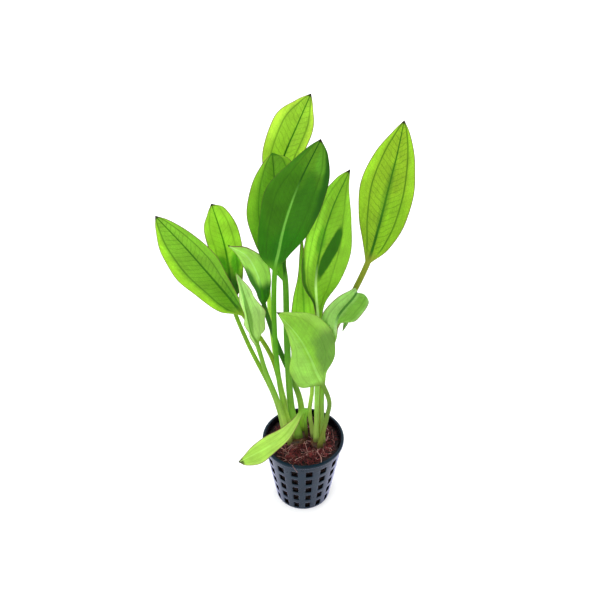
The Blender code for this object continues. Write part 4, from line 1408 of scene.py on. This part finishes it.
def leaf_directions(leaf, tangents):
    """The direction of the upper side and of the right edge at each ring."""
    upward = tangents[STALK_STEPS]
    facing = unit(np.array(FRONT) - np.dot(FRONT, upward) * upward)
    turn = math.radians(leaf.turn)
    normals = np.zeros_like(tangents)
    normals[STALK_STEPS] = facing * math.cos(turn) + np.cross(upward, facing) * math.sin(turn)
    for step, rings in ((1, range(STALK_STEPS + 1, len(tangents))), (-1, range(STALK_STEPS - 1, -1, -1))):
        for ring in rings:
            before = normals[ring - step]
            normals[ring] = unit(before - before @ tangents[ring] * tangents[ring])
    return normals, np.cross(tangents, normals)


# %% Sizes of a ring
FOOT_SPREAD = 0.3           # how much wider the sheath at the foot is
FOOT_SHARES = 5             # the sheath takes one part in so many of the stalk


def smooth_step(values):
    """A step from 0 to 1 without a kink at either end."""
    values = np.clip(values, 0, 1)
    return values * values * (3 - 2 * values)


def ring_sizes(leaf, up_stalk, along):
    """Half widths of every ring, left and right, and half the width of its stalk or midrib."""
    stalk_half = (leaf.thick[0] + (leaf.thick[1] - leaf.thick[0]) * np.sqrt(up_stalk)) / 2
    sheath = stalk_half * (1 + FOOT_SPREAD * (1 - smooth_step(up_stalk * FOOT_SHARES)))
    left, right = (np.where(along > 0, half_widths(leaf.thick[1], outline, along), sheath)
                   for outline in (leaf.left, leaf.right))
    return left, right, stalk_half


# %% Thickness of a leaf
STALK_FLATNESS = 0.8
SHEET_HALF = 0.2                # half the thickness of the blade, in millimetres
RIDGE_STEEPNESS = 1.5           # how steeply the midrib falls off sideways
RIDGE_SPREAD = (0.7, 0.3)       # power with which it narrows to the tip, and its least half width
RIDGE_BELOW = (1.6, 0.12)       # power with which it sinks below the blade, and its least height
RIDGE_ABOVE = (0.2, 1.5)        # share of the blade on which it shows above, and the power
ROUND_UNTIL = 0.07              # share of the blade in which the round stalk turns flat


def ring_height(above, reach, stalk_half, share):
    """Height of a ring's points over its middle line: a round stalk that turns into a ridged sheet."""
    spread = stalk_half * (1 - share) ** RIDGE_SPREAD[0] + RIDGE_SPREAD[1]
    ridge = np.exp(-RIDGE_STEEPNESS * (reach / spread) ** 2) * np.sqrt(np.abs(above))
    sheet = SHEET_HALF * np.sign(above) * np.sqrt(np.abs(above))
    half_height = stalk_half * STALK_FLATNESS
    below_part = half_height * (1 - share) ** RIDGE_BELOW[0] + RIDGE_BELOW[1]
    above_part = half_height * np.clip(1 - share / RIDGE_ABOVE[0], 0, 1) ** RIDGE_ABOVE[1]
    flat = sheet + np.where(above > 0, above_part, -below_part) * ridge
    round_height = half_height * above
    return round_height + (flat - round_height) * smooth_step(share / ROUND_UNTIL)


# %% Form of the blade
OPEN_FROM = 0.2             # share of the blade from which its halves have their full form
FOLD_SOFTNESS = 0.8
SIDE_GROOVE = (0.12, 0.7)   # depth and half width of the groove over a side vein
WAVE_POWER = 3              # how much the waves keep to the margin
WAVE_END = 6                # how late they fade towards the tip
WAVE_SHIFT = 0.35           # turns by which the right margin's waves are ahead
UNDULATION = (14, 0.5)      # size and height of the blade's gentle lumps


def blade_form(run, across, half, share, rise, look):
    """Height of a ring's middle line: the fold, the arch, the grooves, the waves and the lumps."""
    reach = across * half
    size = np.abs(across)
    opened = smooth_step(share / OPEN_FROM)
    middle = (np.sqrt(reach ** 2 + FOLD_SOFTNESS ** 2) - FOLD_SOFTNESS) * np.sin(rise)
    middle += look.arch * half * np.sin(math.pi * size) * opened
    middle -= SIDE_GROOVE[0] * np.exp(-((size - OUTER_VEIN) * half / SIDE_GROOVE[1]) ** 2) * opened
    wave_height, wave_length, start = look.wave
    turns = run[:, None] / wave_length + start + WAVE_SHIFT * (across > 0)
    fade = opened * (1 - share ** WAVE_END)
    middle += wave_height * size ** WAVE_POWER * np.sin(math.tau * turns) * fade
    lumps = np.array([[noise.noise(Vector((side, length, start)) / UNDULATION[0]) for side in row]
                      for row, length in zip(reach, run)])
    return middle + UNDULATION[1] * lumps * opened * size


# %% Points of a leaf
RING_POINTS = 64
RIB_CROWDING = 0.3          # how strongly a ring's points gather at the midrib
FOLD_ONSET = 0.125          # share of the blade in which the fold begins


def leaf_grid(leaf, look):
    """All points of a leaf with their two attributes, ring by ring from foot to tip."""
    places, tangents, run, up_stalk, along = leaf_stations(leaf, look.point)
    normals, sides = leaf_directions(leaf, tangents)
    left, right, stalk_half = (part[:, None] for part in ring_sizes(leaf, up_stalk, along))
    angles = np.arange(RING_POINTS) * math.tau / RING_POINTS
    angles = (angles + RIB_CROWDING * np.sin(2 * angles))[None, :]
    across, above = np.cos(angles), np.sin(angles)
    share = along[:, None]
    half = np.where(across > 0, right, left)
    reach = across * half
    fold = np.radians(leaf.fold[0] + (leaf.fold[1] - leaf.fold[0]) * share)
    rise = fold * np.clip(share / FOLD_ONSET, 0, 1)
    height = ring_height(above, reach, stalk_half, share) + blade_form(run, across, half, share, rise, look)
    points = (places[:, None, :] + (reach * np.cos(rise))[:, :, None] * sides[:, None, :]
              + height[:, :, None] * normals[:, None, :])
    full = np.ones_like(reach)
    place = np.dstack([across * full, share * full, half])
    rule = np.dstack([reach, run[:, None] * full, up_stalk[:, None] * full])
    return points, place, rule


# %% Build the leaves
FOOT_DEPTH = 4      # how far the foot goes down into the crown, in millimetres


def leaf_mesh(leaf, look):
    """Join a leaf's rings by faces, close both ends and store the attributes."""
    points, place, rule = leaf_grid(leaf, look)
    points[0] -= np.array([0, 0, FOOT_DEPTH])
    count = len(points)
    corner = np.arange(RING_POINTS)
    after = (corner + 1) % RING_POINTS
    faces = []
    for ring in range(count - 1):
        low, high = ring * RING_POINTS, (ring + 1) * RING_POINTS
        faces += np.column_stack([low + corner, low + after, high + after, high + corner]).tolist()
    faces += [corner.tolist(), (corner + (count - 1) * RING_POINTS).tolist()]
    mesh = bpy.data.meshes.new(leaf.name + "_blade")
    mesh.from_pydata((points.reshape(-1, 3) * MM).tolist(), [], faces)
    for name, values in (("place", place), ("rule", rule)):
        mesh.attributes.new(name, "FLOAT_VECTOR", "POINT").data.foreach_set("vector", values.ravel())
    bm = bmesh.new()
    bm.from_mesh(mesh)
    bmesh.ops.recalc_face_normals(bm, faces=bm.faces)
    bm.to_mesh(mesh)
    bm.free()
    mesh.shade_smooth()
    return mesh


for leaf in LEAVES:
    look = LOOKS[leaf.name]
    piece = new_object(leaf.name + "_blade", leaf_mesh(leaf, look))
    piece.data.materials.append(leaf_tissue(leaf.name + "_tissue", look))
    place_piece(piece, leaf.slot, leaf.name)

# %% [markdown]
# ## Crowns
# A crown is the plant's short rootstock: a lump of old leaf bases, brown and uneven, half sunk in the
# fibre. It is a small sphere, stretched, roughened with noise and flattened at its top.

# %% Material of the crowns
BARK_DARK, BARK_LIGHT = "#1c0e08", "#5a3a1c"
BARK_PATCH = 2.5 * MM
BARK_SPREAD = (0.35, 0.65)
BARK_RELIEF = 0.4 * MM
BARK_ROUGHNESS = 0.7


def old_leaf_bases():
    """Brown husks of old leaf bases, blotched and uneven."""
    material, tree, shader = new_material("crown of old leaf bases")
    place = add(tree, "ShaderNodeTexCoord").outputs["Object"]
    blotches = add(tree, NOISE, {"Vector": place, "Scale": 1 / BARK_PATCH, "Detail": 5}).outputs["Fac"]
    strong = add(tree, RANGE, {0: blotches, 1: BARK_SPREAD[0], 2: BARK_SPREAD[1]}).outputs[0]
    colour = add(tree, MIX, {0: strong, MIX_A: linear(BARK_DARK), MIX_B: linear(BARK_LIGHT)},
                 data_type="RGBA")
    bump = add(tree, "ShaderNodeBump", {"Height": blotches, "Distance": BARK_RELIEF, "Strength": 0.8})
    tree.links.new(colour.outputs[MIX_OUT], shader.inputs["Base Color"])
    tree.links.new(bump.outputs[0], shader.inputs["Normal"])
    shader.inputs["Roughness"].default_value = BARK_ROUGHNESS
    return material


# %% Crowns
CROWN_TOP = 45.6 * MM
CROWN_MIDDLE = 42 * MM
CROWN_HALF_DEPTH = 6 * MM
CROWN_NOISE = ((3 * MM, 0.5 * MM), (0.9 * MM, 0.2 * MM))    # size and height of its lumps and its grain
CROWN_SEGMENTS = 64
CROWN_RINGS = 32
CROWNS = {    # middle and size across, in millimetres
    "crown_left": ((-4.6, 3.8), (16.4, 15.4)),
    "crown_right": ((9.2, -1.5), (10.6, 11)),
}


def crown_mesh(name, middle, size):
    """A rough lump, flattened where it shows above the fibre."""
    bm = bmesh.new()
    bmesh.ops.create_uvsphere(bm, u_segments=CROWN_SEGMENTS, v_segments=CROWN_RINGS, radius=1)
    for vert in bm.verts:
        x, y = (centre * MM + part * width * MM / 2 for centre, part, width in zip(middle, vert.co, size))
        spot = Vector((x, y, CROWN_MIDDLE + vert.co.z * CROWN_HALF_DEPTH))
        spot += vert.co * rough(spot, CROWN_NOISE)
        spot.z = min(spot.z, CROWN_TOP + rough(spot, CROWN_NOISE) / 2)
        vert.co = spot
    return mesh_from(name, bm)


bark = old_leaf_bases()
for name, (middle, size) in CROWNS.items():
    piece = new_object(name + "_rootstock", crown_mesh(name + "_rootstock", middle, size))
    piece.data.shade_smooth()
    piece.data.materials.append(bark)
    place_piece(piece, "crown_bark", name)

# %% [markdown]
# ## Size
# How far the dressed plant's box has grown beyond that of its imported model is printed.

# %% Print how far the size grew
visual_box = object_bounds()
limits = zip((*cad_box[0], *cad_box[1]), (*visual_box[0], *visual_box[1]))
print("grown beyond the packed box, in mm:", [round((new - old) / MM, 1) for old, new in limits])
